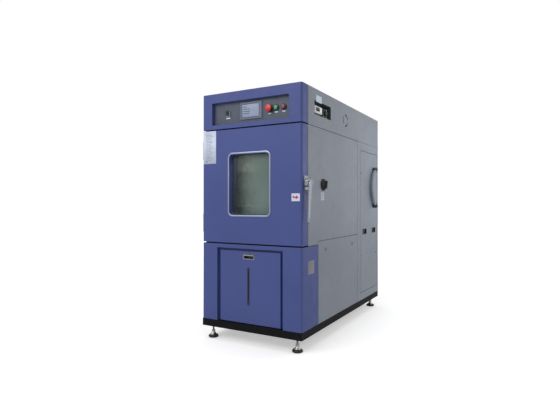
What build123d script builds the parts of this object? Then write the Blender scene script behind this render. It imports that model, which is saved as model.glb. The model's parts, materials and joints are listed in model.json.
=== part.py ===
from build123d import *
import math
import os

# Floor-standing environmental test chamber. Millimetres, +Z up, the front faces -Y.
# The origin is on the floor, under the centre of the whole object's box.

os.makedirs("parts", exist_ok=True)

# Overall sizes of the cabinet
cabinet_w = 692.0
cabinet_d = 1384.0
foot_h = 78.0
base_h = 43.0
lower_h = 473.0
door_h = 689.0
box_h = 222.0

# Sheet metal and the gaps between panels
sheet = 1.5
liner_t = 1.2
panel_gap = 3.0
door_gap = 8.0
seat_gap = 0.3
corner_r = 13.0
running = 0.05

# How far the fittings stand off each side of the cabinet
hinge_axis_out = 12.0
knuckle_r = 10.0
trim_proud = 3.0
latch_out = 22.0
lever_t = 9.0
hose_r = 14.0
elbow_r = 16.5
elbow_flange_t = 3.0
hose_out = elbow_flange_t + hose_r + seat_gap
rear_out = 34.0

# Places of the cabinet's faces
hinge_reach = hinge_axis_out + knuckle_r
side_reach = max(latch_out + seat_gap + lever_t, hose_out + elbow_r)
left_x = hinge_reach - (hinge_reach + cabinet_w + side_reach) / 2
right_x = left_x + cabinet_w
front_y = trim_proud - (trim_proud + cabinet_d + rear_out) / 2
rear_y = front_y + cabinet_d

# The openings of the front lie about this line, a little nearer the latch than the hinges
mid_x = right_x - 340.0
base_top = foot_h + base_h
door_bottom = base_top + lower_h
box_bottom = door_bottom + door_h
top_z = box_bottom + box_h


def at_x(x):
    """Upright plane facing right, with Y across and Z up."""
    return Plane.YZ.offset(x)


def at_y(y):
    """Upright plane facing the front, with X across and Z up."""
    return Plane.XZ.offset(-y)


def at_z(z):
    """Level plane, with X across and Y back."""
    return Plane.XY.offset(z)


def rect(u0, u1, v0, v1, mode=Mode.ADD):
    """Rectangle between two corners of the sketch being drawn."""
    with Locations(((u0 + u1) / 2, (v0 + v1) / 2)):
        Rectangle(u1 - u0, v1 - v0, mode=mode)


def block(x0, x1, y0, y1, z0, z1, mode=Mode.ADD):
    """Straight bar or pocket between two corners of the part being made."""
    with Locations(((x0 + x1) / 2, (y0 + y1) / 2, (z0 + z1) / 2)):
        Box(x1 - x0, y1 - y0, z1 - z0, mode=mode)


def save(piece, label):
    piece.part.label = label
    export_step(piece.part, f"parts/{label}.step")


# Levelling feet: rubber pad, metal cone, hexagon and an M12 stem in one turned piece
pad_r = 31.0
pad_h = 14.0
cone_top_r = 8.5
cone_top = 44.0
stem_r = 6.0
stem_in = 27.0
nut_across = 19.0
nut_h = 8.0
foot_inset_x = 51.0
foot_inset_y = 45.0
base_inset = 1.0

foot_places = {
    "foot_front_left": (left_x + foot_inset_x, front_y + foot_inset_y),
    "foot_front_right": (right_x - foot_inset_x, front_y + foot_inset_y),
    "foot_rear_left": (left_x + foot_inset_x, rear_y - foot_inset_y),
    "foot_rear_right": (right_x - foot_inset_x, rear_y - foot_inset_y),
}

for foot_name, (foot_x, foot_y) in foot_places.items():
    with BuildPart() as foot:
        with BuildSketch(Plane((foot_x, foot_y, 0), x_dir=(1, 0, 0), z_dir=(0, -1, 0))):
            with BuildLine():
                Polyline((0, 0), (pad_r - 3, 0), (pad_r, 3), (pad_r, pad_h - 4))
                Line((pad_r, pad_h - 4), (pad_r - 6, pad_h))
                Spline(
                    (pad_r - 6, pad_h),
                    (cone_top_r + 4, (pad_h + cone_top) / 2 + 3),
                    (cone_top_r, cone_top),
                )
                Polyline((cone_top_r, cone_top), (stem_r, cone_top), (stem_r, foot_h + stem_in))
                Polyline((stem_r, foot_h + stem_in), (0, foot_h + stem_in), (0, 0))
            make_face()
        revolve(axis=Axis((foot_x, foot_y, 0), (0, 0, 1)))
        with BuildSketch(at_z(foot_h - seat_gap - nut_h)):
            with Locations((foot_x, foot_y)):
                RegularPolygon(nut_across / 2, 6, major_radius=False)
        extrude(amount=nut_h)
    save(foot, foot_name)

# Base frame: a ring of channel rails open to the inside, corner plates for the feet,
# cross rails under the drawer and the machine tray
rail_w = 50.0
rail_t = 3.0
plate_t = 12.0
plate_size = 84.0
cross_rail_w = 40.0
tray_front = front_y + 560.0
tray_rear = rear_y - base_inset
drawer_rail_y = front_y + 490.0

with BuildPart() as base_frame:
    with BuildSketch(at_z(foot_h)):
        rect(left_x + base_inset, right_x - base_inset, front_y + base_inset, rear_y - base_inset)
        offset(amount=-rail_w, mode=Mode.SUBTRACT)
    extrude(amount=base_h)
    with BuildSketch(at_z(foot_h + rail_t)):
        rect(left_x + base_inset, right_x - base_inset, front_y + base_inset, rear_y - base_inset)
        offset(amount=-rail_t, mode=Mode.REPLACE)
    extrude(amount=base_h - 2 * rail_t, mode=Mode.SUBTRACT)
    for foot_x, foot_y in foot_places.values():
        sign_x = 1 if foot_x < left_x + cabinet_w / 2 else -1
        sign_y = 1 if foot_y < front_y + cabinet_d / 2 else -1
        corner_x = (left_x + base_inset) if sign_x > 0 else (right_x - base_inset)
        corner_y = (front_y + base_inset) if sign_y > 0 else (rear_y - base_inset)
        with BuildSketch(at_z(foot_h)):
            rect(
                min(corner_x, corner_x + sign_x * plate_size),
                max(corner_x, corner_x + sign_x * plate_size),
                min(corner_y, corner_y + sign_y * plate_size),
                max(corner_y, corner_y + sign_y * plate_size),
            )
        extrude(amount=plate_t)
    rail_x0 = left_x + base_inset + rail_t
    rail_x1 = right_x - base_inset - rail_t
    block(rail_x0, rail_x1, drawer_rail_y, drawer_rail_y + cross_rail_w, foot_h, base_top)
    block(rail_x0, rail_x1, tray_front, tray_rear - rail_t, base_top - rail_t, base_top)
    with Locations(*[(x, y, foot_h + plate_t) for x, y in foot_places.values()]):
        Hole(stem_r + running)
save(base_frame, "base_frame")

# Insulated chamber body: cavity, liner with its front flange, and the foam round it
cavity_w = 500.0
cavity_h = 600.0
cavity_d = 500.0
duct_d = 150.0
foam_top = 64.0
foam_back = 80.0
door_d = 73.0
gasket_d = 5.0
cavity_rise = 45.0

casing_y = front_y + door_d + gasket_d
cavity_x0 = mid_x - cavity_w / 2
cavity_x1 = mid_x + cavity_w / 2
cavity_z0 = door_bottom + cavity_rise
cavity_z1 = cavity_z0 + cavity_h
baffle_y = casing_y + cavity_d
liner_back = baffle_y + duct_d
foam_z0 = cavity_z0 - liner_t - foam_top
foam_z1 = cavity_z1 + liner_t + foam_top
foam_y1 = liner_back + liner_t + foam_back

# Cable port in the right wall, the blower shaft through the back
port_r = 25.0
port_wall = 2.0
port_y = front_y + 285.0
port_z = foot_h + 869.0
shaft_r = 8.0
shaft_z = foot_h + 1035.0
shaft_hole_r = 11.0

with BuildPart() as liner:
    with BuildSketch(at_y(casing_y)):
        rect(left_x + sheet, right_x - sheet, door_bottom, box_bottom)
        rect(cavity_x0, cavity_x1, cavity_z0, cavity_z1, mode=Mode.SUBTRACT)
    extrude(amount=-liner_t)
    with BuildSketch(at_y(casing_y)):
        rect(cavity_x0 - liner_t, cavity_x1 + liner_t, cavity_z0 - liner_t, cavity_z1 + liner_t)
        rect(cavity_x0, cavity_x1, cavity_z0, cavity_z1, mode=Mode.SUBTRACT)
    extrude(amount=-(liner_back - casing_y))
    with BuildSketch(at_y(liner_back)):
        rect(cavity_x0 - liner_t, cavity_x1 + liner_t, cavity_z0 - liner_t, cavity_z1 + liner_t)
        with Locations((mid_x, shaft_z)):
            Circle(shaft_hole_r, mode=Mode.SUBTRACT)
    extrude(amount=-liner_t)
    with BuildSketch(at_x(cavity_x1 - liner_t)):
        with Locations((port_y, port_z)):
            Circle(port_r + port_wall + running)
    extrude(amount=3 * liner_t, mode=Mode.SUBTRACT)
save(liner, "liner")

with BuildPart() as insulation:
    with BuildSketch(at_y(casing_y + liner_t)):
        rect(left_x + sheet, right_x - sheet, foam_z0, foam_z1)
        rect(
            cavity_x0 - liner_t, cavity_x1 + liner_t, cavity_z0 - liner_t, cavity_z1 + liner_t,
            mode=Mode.SUBTRACT,
        )
    extrude(amount=-(liner_back - casing_y))
    with BuildSketch(at_y(liner_back + liner_t)):
        rect(left_x + sheet, right_x - sheet, foam_z0, foam_z1)
        with Locations((mid_x, shaft_z)):
            Circle(shaft_hole_r, mode=Mode.SUBTRACT)
    extrude(amount=-foam_back)
    with BuildSketch(at_x(cavity_x1)):
        with Locations((port_y, port_z)):
            Circle(port_r + port_wall + running)
    extrude(amount=cabinet_w / 2, mode=Mode.SUBTRACT)
save(insulation, "insulation")

# Machine frame behind the chamber body: welded posts and rails, flush with the side panels
post_t = 30.0
mid_post_y0 = front_y + 895.0
mid_post_y1 = front_y + 955.0
rear_post_w = 30.0
low_rail_h = 52.0
high_rail_h = 59.0
stop_w = 12.0
front_post_y = front_y + 100.0
deck_h = 30.0
fold = 12.0
frame_inset = fold + 1.0

with BuildPart() as machine_frame:
    for x0, x1 in ((left_x, left_x + post_t), (right_x - post_t, right_x)):
        block(x0, x1, mid_post_y0, mid_post_y1, base_top, box_bottom)
        block(x0, x1, rear_y - sheet - rear_post_w, rear_y - sheet, base_top, box_bottom)
        block(x0, x1, mid_post_y1, rear_y - sheet - rear_post_w, base_top, base_top + low_rail_h)
        block(x0, x1, mid_post_y1, rear_y - sheet - rear_post_w, box_bottom - high_rail_h, box_bottom)
    stop_z0 = base_top + low_rail_h
    stop_z1 = box_bottom - high_rail_h
    rear_stop_y = rear_y - sheet - rear_post_w
    for x0, x1 in ((left_x + fold, left_x + post_t), (right_x - post_t, right_x - fold)):
        block(x0, x1, mid_post_y1, mid_post_y1 + stop_w, stop_z0, stop_z1)
        block(x0, x1, rear_stop_y - stop_w, rear_stop_y, stop_z0, stop_z1)
    for x0, x1 in (
        (left_x + frame_inset, left_x + frame_inset + post_t),
        (right_x - frame_inset - post_t, right_x - frame_inset),
    ):
        block(x0, x1, front_post_y, front_post_y + post_t, base_top, foam_z0)
        block(x0, x1, front_post_y + post_t, mid_post_y0, foam_z0 - deck_h, foam_z0)
    block(
        left_x + post_t, right_x - post_t, rear_y - sheet - rear_post_w, rear_y - sheet,
        box_bottom - deck_h, box_bottom,
    )
    block(
        left_x + post_t, right_x - post_t, mid_post_y0, mid_post_y0 + deck_h,
        foam_z0 - deck_h, foam_z0,
    )
save(machine_frame, "machine_frame")

# Outer side skins of the chamber body, one each side, with folded edges
skin_bottom = door_bottom + 18.0
wrap_d = 213.0
cover_top = door_bottom - door_gap / 2


def side_panel(x_out, side, y0, y1, z0, z1, fold_z1):
    """Sheet with its edges folded in up to a height. side is +1 right, -1 left."""
    with BuildSketch(at_x(x_out)) as outside:
        rect(y0, y1, z0, fold_z1)
    extrude(outside.sketch, amount=-side * fold)
    with BuildSketch(at_x(x_out - side * sheet)) as inside:
        rect(y0 + sheet, y1 - sheet, z0 + sheet, fold_z1 - sheet)
    extrude(inside.sketch, amount=-side * fold, mode=Mode.SUBTRACT)
    with BuildSketch(at_x(x_out)) as face:
        rect(y0, y1, z0, z1)
    extrude(face.sketch, amount=-side * sheet)


with BuildPart() as side_skins:
    for x_out, side in ((left_x, -1), (right_x, 1)):
        with BuildSketch(at_x(x_out)):
            rect(casing_y, mid_post_y0 - panel_gap, skin_bottom, box_bottom - panel_gap / 2)
            rect(casing_y, front_y + wrap_d, cover_top + panel_gap, skin_bottom)
            if side > 0:
                with Locations((port_y, port_z)):
                    Circle(port_r + port_wall + running, mode=Mode.SUBTRACT)
        extrude(amount=-side * sheet)
save(side_skins, "side_skins")

# Lower side panels, held by quarter-turn locks on the right
lock_r = 11.0
lock_shank_r = 7.0
lock_z = foot_h + 475.0
lock_places = {"panel_lock_front": front_y + 327.0, "panel_lock_rear": front_y + 784.0}

with BuildPart() as lower_side_panels:
    for x_out, side in ((left_x, -1), (right_x, 1)):
        side_panel(
            x_out, side, front_y + wrap_d + panel_gap, mid_post_y0 - panel_gap,
            base_top + panel_gap / 2, skin_bottom - panel_gap, lock_z - 40,
        )
    with BuildSketch(at_x(right_x)):
        for lock_y in lock_places.values():
            with Locations((lock_y, lock_z)):
                Circle(lock_shank_r + running)
    extrude(amount=-2 * sheet, mode=Mode.SUBTRACT)
save(lower_side_panels, "lower_side_panels")

lock_head = 3.0
lock_cam_t = 3.0
for lock_name, lock_y in lock_places.items():
    with BuildPart() as lock:
        with BuildSketch(at_x(right_x + running)):
            with Locations((lock_y, lock_z)):
                Circle(lock_r)
        extrude(amount=lock_head)
        fillet(lock.edges().group_by(Axis.X)[-1], 1.0)
        with BuildSketch(at_x(right_x + running)):
            with Locations((lock_y, lock_z)):
                Circle(lock_shank_r)
        extrude(amount=-(sheet + lock_cam_t + 4 * running))
        with BuildSketch(at_x(right_x - sheet - running - lock_cam_t)):
            with Locations((lock_y, lock_z - 10)):
                SlotOverall(34, 12, rotation=90)
        extrude(amount=lock_cam_t)
        with BuildSketch(at_x(right_x + lock_head)):
            with Locations((lock_y, lock_z)):
                SlotOverall(12, 3)
        extrude(amount=-1.5, mode=Mode.SUBTRACT)
    save(lock, lock_name)

# Rear side panels of the machine compartment, each with two pressed finger cups
rear_panel_z0 = base_top + low_rail_h
rear_panel_z1 = box_bottom - high_rail_h
rear_panel_y0 = mid_post_y1 + panel_gap
rear_panel_y1 = rear_y - sheet - rear_post_w - panel_gap
cup_w = 90.0
cup_h = 37.0
cup_z = foot_h + 544.0
cup_places = (front_y + 1050.0, front_y + 1267.0)

with BuildPart() as rear_side_panels:
    for x_out, side in ((left_x, -1), (right_x, 1)):
        side_panel(
            x_out, side, rear_panel_y0, rear_panel_y1,
            rear_panel_z0 + panel_gap, rear_panel_z1 - panel_gap, rear_panel_z1 - panel_gap,
        )
        with BuildSketch(at_x(x_out)):
            for cup_y in cup_places:
                with Locations((cup_y, cup_z)):
                    Rectangle(cup_w + 2 * sheet, cup_h + 2 * sheet)
        extrude(amount=-side * fold)
        with BuildSketch(at_x(x_out)):
            for cup_y in cup_places:
                with Locations((cup_y, cup_z)):
                    Rectangle(cup_w, cup_h)
        extrude(amount=-side * (fold - sheet), mode=Mode.SUBTRACT)
save(rear_side_panels, "rear_side_panels")

# Control box cover: top and both sides folded from one sheet, with a switch pocket and a vent
fascia_d = 76.0
pocket_y0 = front_y + 162.0
pocket_y1 = front_y + 404.0
pocket_z0 = foot_h + 1276.0
pocket_z1 = foot_h + 1358.0
pocket_deep = 48.0
vent_y = front_y + 658.0
vent_z = foot_h + 1316.0
vent_r = 41.0
vent_slot = 8.0
vent_spoke = 24.0
cover_y0 = front_y + fascia_d + panel_gap
cover_y1 = rear_y - sheet
tongue_d = 16.0

with BuildPart() as control_box_cover:
    with BuildSketch(at_y(cover_y0)):
        rect(left_x, right_x, box_bottom + panel_gap / 2, top_z)
        rect(
            left_x + sheet, right_x - sheet, box_bottom, top_z - sheet,
            mode=Mode.SUBTRACT,
        )
    extrude(amount=-(cover_y1 - cover_y0))
    with BuildSketch(at_y(cover_y0 - tongue_d)):
        rect(left_x + sheet, right_x - sheet, foam_z1 + panel_gap, top_z - sheet)
        rect(
            left_x + 2 * sheet, right_x - 2 * sheet, foam_z1, top_z - 2 * sheet,
            mode=Mode.SUBTRACT,
        )
    extrude(amount=-2 * tongue_d)
    block(
        right_x - pocket_deep, right_x, pocket_y0 - sheet, pocket_y1 + sheet,
        pocket_z0 - sheet, pocket_z1 + sheet,
    )
    block(
        right_x - pocket_deep + sheet, right_x, pocket_y0, pocket_y1, pocket_z0, pocket_z1,
        mode=Mode.SUBTRACT,
    )
    with BuildSketch(at_x(right_x)):
        with Locations((vent_y, vent_z)):
            Circle(vent_r)
            Circle(vent_r - vent_slot, mode=Mode.SUBTRACT)
            with PolarLocations(vent_r, 3):
                Rectangle(3 * vent_slot, vent_spoke, mode=Mode.SUBTRACT)
    extrude(amount=-2 * sheet, mode=Mode.SUBTRACT)
save(control_box_cover, "control_box_cover")

# Breaker and over-temperature limiter in the side pocket
breaker_w = 122.0
breaker_h = 40.0
breaker_deep = 38.0
breaker_y0 = pocket_y0 + 4.0
breaker_z = foot_h + 1312.0
pocket_floor = right_x - pocket_deep + sheet
nose_w = 92.0
nose_h = 32.0
nose_deep = 7.0
toggle_y = breaker_y0 + 49.0
toggle_w = 54.0
toggle_h = 8.0
toggle_pin_r = 3.0
toggle_pin_in = 10.0
toggle_swing = 26.0
limiter_w = 62.0
limiter_h = 62.0
limiter_deep = 26.0
limiter_y = pocket_y1 - 48.0
dial_r = 15.0
dial_t = 12.0
dial_stem_r = 4.0
nose_x = pocket_floor + breaker_deep + nose_deep
toggle_x = nose_x - toggle_pin_in

with BuildPart() as side_switchgear:
    with BuildSketch(at_x(pocket_floor)):
        rect(
            breaker_y0, breaker_y0 + breaker_w,
            breaker_z - breaker_h / 2, breaker_z + breaker_h / 2,
        )
    extrude(amount=breaker_deep)
    with BuildSketch(at_x(pocket_floor + breaker_deep)):
        with Locations((breaker_y0 + breaker_w / 2, breaker_z)):
            Rectangle(nose_w, nose_h)
    extrude(amount=nose_deep)
    fillet(side_switchgear.edges().group_by(Axis.X)[-1], 2.0)
    with BuildSketch(at_x(nose_x)):
        with Locations((toggle_y, breaker_z)):
            Rectangle(toggle_w + 2, toggle_h + 16)
    extrude(amount=-(toggle_pin_in + 9), mode=Mode.SUBTRACT)
    with BuildSketch(at_y(toggle_y - toggle_w / 2 - 8)):
        with Locations((toggle_x, breaker_z)):
            Circle(toggle_pin_r + running)
    extrude(amount=-(toggle_w + 16), mode=Mode.SUBTRACT)
    with BuildSketch(at_x(pocket_floor)):
        with Locations((limiter_y, breaker_z)):
            Rectangle(limiter_w, limiter_h)
    extrude(amount=limiter_deep)
    with BuildSketch(at_x(pocket_floor + limiter_deep)):
        with Locations((limiter_y, breaker_z)):
            Circle(dial_stem_r + running)
    extrude(amount=-limiter_deep + 4, mode=Mode.SUBTRACT)
save(side_switchgear, "side_switchgear")

with BuildPart() as breaker_toggle:
    with BuildSketch(at_y(toggle_y - toggle_w / 2)):
        with BuildLine():
            Polyline(
                (toggle_x - 5, breaker_z - 5), (toggle_x + 5, breaker_z - 5),
                (toggle_x + toggle_pin_in + 1, breaker_z - 3.5),
                (toggle_x + toggle_pin_in + 1, breaker_z + 3.5),
                (toggle_x + 5, breaker_z + 5), (toggle_x - 5, breaker_z + 5),
                close=True,
            )
        make_face()
    extrude(amount=-toggle_w)
    with BuildSketch(at_y(toggle_y - toggle_w / 2 - 6)):
        with Locations((toggle_x, breaker_z)):
            Circle(toggle_pin_r)
    extrude(amount=-(toggle_w + 12))
save(breaker_toggle, "breaker_toggle")

with BuildPart() as temperature_dial:
    with BuildSketch(at_x(pocket_floor + limiter_deep + seat_gap)):
        with Locations((limiter_y, breaker_z)):
            Circle(dial_r)
    extrude(amount=dial_t, taper=6)
    with BuildSketch(at_x(pocket_floor + limiter_deep + seat_gap + dial_t)):
        with Locations((limiter_y, breaker_z)):
            Rectangle(4, 2 * dial_r)
    extrude(amount=-4, mode=Mode.SUBTRACT)
    with BuildSketch(at_x(pocket_floor + limiter_deep + seat_gap)):
        with Locations((limiter_y, breaker_z)):
            Circle(dial_stem_r)
    extrude(amount=-14)
save(temperature_dial, "temperature_dial")

# Back cover with louvres over the condenser and the control box
louvre_w = 190.0
louvre_h = 5.0
louvre_pitch = 16.0
louvre_proud = 6.0
gland_x = mid_x - 210.0
gland_z = base_top + 90.0
drain_x = mid_x + 210.0
drain_z = base_top + 60.0
gland_hole_r = 13.0
drain_hole_r = 9.0
louvre_fields = ((mid_x - 110.0, base_top + 230.0, 14), (mid_x + 110.0, base_top + 230.0, 14),
                 (mid_x, box_bottom + 60.0, 7))

with BuildPart() as back_cover:
    with BuildSketch(at_y(rear_y)):
        rect(left_x, right_x, base_top + panel_gap / 2, top_z)
        with Locations((gland_x, gland_z)):
            Circle(gland_hole_r, mode=Mode.SUBTRACT)
        with Locations((drain_x, drain_z)):
            Circle(drain_hole_r, mode=Mode.SUBTRACT)
    extrude(amount=sheet)
    for field_x, field_z, count in louvre_fields:
        for row in range(count):
            slot_z = field_z + row * louvre_pitch
            block(
                field_x - louvre_w / 2, field_x + louvre_w / 2, rear_y - sheet, rear_y,
                slot_z, slot_z + louvre_h, mode=Mode.SUBTRACT,
            )
            with BuildSketch(at_x(field_x - louvre_w / 2 - 2)):
                with BuildLine():
                    Polyline(
                        (rear_y, slot_z + louvre_h + 5), (rear_y + louvre_proud, slot_z + 1),
                        (rear_y + louvre_proud, slot_z - 0.5), (rear_y, slot_z + louvre_h + 3),
                        close=True,
                    )
                make_face()
            extrude(amount=louvre_w + 4)
save(back_cover, "back_cover")

# Fascia: the blue top front, a pan with a deep recess for the controls
recess_x0 = mid_x - 279.0
recess_x1 = mid_x + 258.0
recess_z0 = foot_h + 1235.0
recess_z1 = foot_h + 1370.0
recess_d = 25.0
control_t = 2.0
panel_lap = 9.0
split_x = mid_x + 75.0


def front_plan(depth, inset=0.0):
    """Plan behind the blue front, with its two front corners rounded."""
    rect(left_x + inset, right_x - inset, front_y + inset, front_y + depth)
    fillet(vertices().group_by(Axis.Y)[0], corner_r - inset)


with BuildPart() as fascia:
    with BuildSketch(at_z(box_bottom + door_gap / 2)):
        front_plan(fascia_d)
    extrude(amount=top_z - box_bottom - door_gap / 2)
    with BuildSketch(at_z(box_bottom + door_gap / 2 + sheet)):
        front_plan(fascia_d, inset=sheet)
    extrude(amount=top_z - box_bottom - door_gap / 2 - 2 * sheet, mode=Mode.SUBTRACT)
    with BuildSketch(at_y(front_y)):
        rect(recess_x0 - sheet, recess_x1 + sheet, recess_z0 - sheet, recess_z1 + sheet)
    extrude(amount=-recess_d)
    with BuildSketch(at_y(front_y)):
        rect(recess_x0, recess_x1, recess_z0, recess_z1)
    extrude(amount=-recess_d, mode=Mode.SUBTRACT)
save(fascia, "fascia")

# Controls on the two panels at the back of the recess
panel_y = front_y + recess_d
screen_x = mid_x - 8.0
screen_z = foot_h + 1307.0
screen_w = 152.0
screen_h = 104.0
screen_body_w = 138.0
screen_body_h = 90.0
screen_body_d = 34.0
screen_proud = 5.0
glass_w = 118.0
glass_h = 76.0
glass_x = screen_x - 3.0
port_piece_x = mid_x - 175.0
port_piece_z = foot_h + 1302.0
port_piece_w = 36.0
port_body_r = 11.0
bush_r = 11.0
bush_deep = 28.0
stem_push_r = 5.0
estop_x = mid_x + 121.0
start_x = mid_x + 164.0
stop_x = mid_x + 213.0
button_z = foot_h + 1306.0

with BuildPart() as control_panels:
    with BuildSketch(at_y(panel_y)):
        rect(recess_x0 - panel_lap, split_x - 0.25, recess_z0 - panel_lap, recess_z1 + panel_lap)
        rect(split_x + 0.25, recess_x1 + panel_lap, recess_z0 - panel_lap, recess_z1 + panel_lap)
        with Locations((screen_x, screen_z)):
            Rectangle(screen_body_w + 1, screen_body_h + 1, mode=Mode.SUBTRACT)
        with Locations((port_piece_x, port_piece_z)):
            Circle(port_body_r + 0.1, mode=Mode.SUBTRACT)
        with Locations((estop_x, button_z), (start_x, button_z), (stop_x, button_z)):
            Circle(bush_r + 0.1, mode=Mode.SUBTRACT)
    extrude(amount=-control_t)
save(control_panels, "control_panels")

with BuildPart() as touch_screen:
    with BuildSketch(at_y(panel_y)):
        with Locations((screen_x, screen_z)):
            RectangleRounded(screen_w, screen_h, 4)
    extrude(amount=screen_proud)
    chamfer(touch_screen.edges().group_by(Axis.Y)[0], 1.5)
    with BuildSketch(at_y(panel_y - screen_proud)):
        with Locations((glass_x, screen_z)):
            Rectangle(glass_w, glass_h)
    extrude(amount=-1.2, mode=Mode.SUBTRACT)
    with BuildSketch(at_y(panel_y)):
        with Locations((screen_x, screen_z)):
            Rectangle(screen_body_w, screen_body_h)
    extrude(amount=-screen_body_d)
save(touch_screen, "touch_screen")

with BuildPart() as usb_port:
    with BuildSketch(at_y(panel_y)):
        with Locations((port_piece_x, port_piece_z)):
            RectangleRounded(port_piece_w, port_piece_w, 3)
    extrude(amount=4)
    chamfer(usb_port.edges().group_by(Axis.Y)[0], 1.2)
    with BuildSketch(at_y(panel_y)):
        with Locations((port_piece_x, port_piece_z)):
            Circle(port_body_r)
    extrude(amount=-22)
    with BuildSketch(at_y(panel_y - 4)):
        with Locations((port_piece_x, port_piece_z)):
            Rectangle(13, 6)
    extrude(amount=-14, mode=Mode.SUBTRACT)
save(usb_port, "usb_port")

# Push buttons: turned bezels with a bush through the panel, and caps that travel inwards
bezel_floor = 1.5
start_ring_r = 17.5
start_ring_h = 7.0
start_cap_r = 12.6
start_travel = 3.0
start_cap_t = 9.0
estop_ring_r = 25.0
estop_ring_h = 3.0
estop_neck_r = 14.0
estop_neck_h = 13.0
estop_cap_r = 21.0
estop_travel = 5.0
estop_cap_t = 9.0
cap_clear = 0.35


def turned_y(x, z):
    """Turn the sketch just drawn in the plane at x about the line along Y through (x, z)."""
    revolve(axis=Axis((x, 0, z), (0, 1, 0)))


with BuildPart() as button_bezels:
    for button_x in (start_x, stop_x):
        with BuildSketch(at_x(button_x)):
            rect(
                panel_y - start_ring_h, panel_y,
                button_z + start_cap_r + cap_clear, button_z + start_ring_r,
            )
            rect(
                panel_y - bezel_floor, panel_y,
                button_z + stem_push_r + running, button_z + start_ring_r,
            )
            rect(
                panel_y - bezel_floor, panel_y + bush_deep,
                button_z + stem_push_r + running, button_z + bush_r,
            )
        turned_y(button_x, button_z)
    with BuildSketch(at_x(estop_x)):
        rect(
            panel_y - estop_ring_h, panel_y,
            button_z + stem_push_r + running, button_z + estop_ring_r,
        )
        rect(
            panel_y - estop_neck_h, panel_y,
            button_z + stem_push_r + running, button_z + estop_neck_r,
        )
        rect(
            panel_y - bezel_floor, panel_y + bush_deep,
            button_z + stem_push_r + running, button_z + bush_r,
        )
    turned_y(estop_x, button_z)
save(button_bezels, "button_bezels")

start_cap_back = panel_y - bezel_floor - start_travel - seat_gap
for cap_name, button_x in (("start_button", start_x), ("stop_button", stop_x)):
    with BuildPart() as cap:
        with BuildSketch(at_x(button_x)):
            rect(start_cap_back - start_cap_t, start_cap_back, button_z, button_z + start_cap_r)
            rect(start_cap_back, panel_y + bush_deep - 8, button_z, button_z + stem_push_r)
        turned_y(button_x, button_z)
        fillet(cap.edges().group_by(Axis.Y)[0], 3.0)
    save(cap, cap_name)

estop_cap_back = panel_y - estop_neck_h - estop_travel - seat_gap
with BuildPart() as estop_button:
    with BuildSketch(at_x(estop_x)):
        with BuildLine():
            Polyline(
                (estop_cap_back - estop_cap_t, button_z),
                (estop_cap_back, button_z),
                (estop_cap_back, button_z + estop_cap_r - 1),
                (estop_cap_back - 2, button_z + estop_cap_r),
                (estop_cap_back - 4, button_z + estop_cap_r),
            )
            Spline(
                (estop_cap_back - 4, button_z + estop_cap_r),
                (estop_cap_back - estop_cap_t + 1.6, button_z + estop_cap_r - 7),
                (estop_cap_back - estop_cap_t, button_z),
            )
        make_face()
        rect(estop_cap_back, panel_y + bush_deep - 8, button_z, button_z + stem_push_r)
    turned_y(estop_x, button_z)
save(estop_button, "estop_button")

# Door: blue pan with a window tunnel, foam core, steel inner pan, gasket and panes
door_z0 = door_bottom + door_gap / 2
door_z1 = box_bottom - door_gap / 2
window_x = mid_x - 9.5
window_z = foot_h + 868.5
window_w = 279.0
window_h = 363.0
window_r = 22.0
trim_w = 10.0
rim_deep = 38.0
pane_lap = 10.0
pane_out_t = 5.0
pane_in_t = 4.0
tray_d = 20.0
tray_clear = 14.0
gasket_w = 16.0
gasket_inset = 9.0
tray_x0 = cavity_x0 + tray_clear
tray_x1 = cavity_x1 - tray_clear
tray_z0 = cavity_z0 + tray_clear
tray_z1 = cavity_z1 - tray_clear
door_back = front_y + door_d


def window_shape(grow, mode=Mode.ADD):
    """Rounded window outline, grown all round."""
    with Locations((window_x, window_z)):
        RectangleRounded(window_w + 2 * grow, window_h + 2 * grow, window_r + grow, mode=mode)


with BuildPart() as door_shell:
    with BuildSketch(at_z(door_z0)):
        front_plan(door_d)
    extrude(amount=door_z1 - door_z0)
    with BuildSketch(at_z(door_z0 + sheet)):
        front_plan(door_d, inset=sheet)
    extrude(amount=door_z1 - door_z0 - 2 * sheet, mode=Mode.SUBTRACT)
    with BuildSketch(at_y(front_y)):
        window_shape(sheet)
    extrude(amount=-rim_deep)
    with BuildSketch(at_y(front_y)):
        window_shape(0)
    extrude(amount=-rim_deep, mode=Mode.SUBTRACT)
save(door_shell, "door_shell")

with BuildPart() as door_inner_pan:
    with BuildSketch(at_y(door_back - sheet)):
        rect(left_x + sheet, right_x - sheet, door_z0 + sheet, door_z1 - sheet)
    extrude(amount=-sheet)
    with BuildSketch(at_y(door_back)):
        rect(tray_x0, tray_x1, tray_z0, tray_z1)
        fillet(vertices(), 12)
    extrude(amount=-tray_d)
    fillet(door_inner_pan.edges().group_by(Axis.Y)[-1], 5)
    with BuildSketch(at_y(door_back - sheet)):
        rect(tray_x0 + sheet, tray_x1 - sheet, tray_z0 + sheet, tray_z1 - sheet)
        fillet(vertices(), 12 - sheet)
    extrude(amount=-tray_d, mode=Mode.SUBTRACT)
    with BuildSketch(at_y(door_back)):
        window_shape(0)
    extrude(amount=-tray_d, mode=Mode.SUBTRACT)
save(door_inner_pan, "door_inner_pan")

with BuildPart() as door_core:
    with BuildSketch(at_z(door_z0 + sheet)):
        front_plan(door_d - sheet, inset=sheet)
    extrude(amount=door_z1 - door_z0 - 2 * sheet)
    with BuildSketch(at_y(door_back - sheet)):
        rect(tray_x0 + 5, tray_x1 - 5, tray_z0 + 5, tray_z1 - 5)
        fillet(vertices(), 8)
    extrude(amount=-(tray_d - 5))
    with BuildSketch(at_y(front_y + sheet)):
        window_shape(pane_lap)
    extrude(amount=-(door_d + tray_d), mode=Mode.SUBTRACT)
save(door_core, "door_core")

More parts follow.
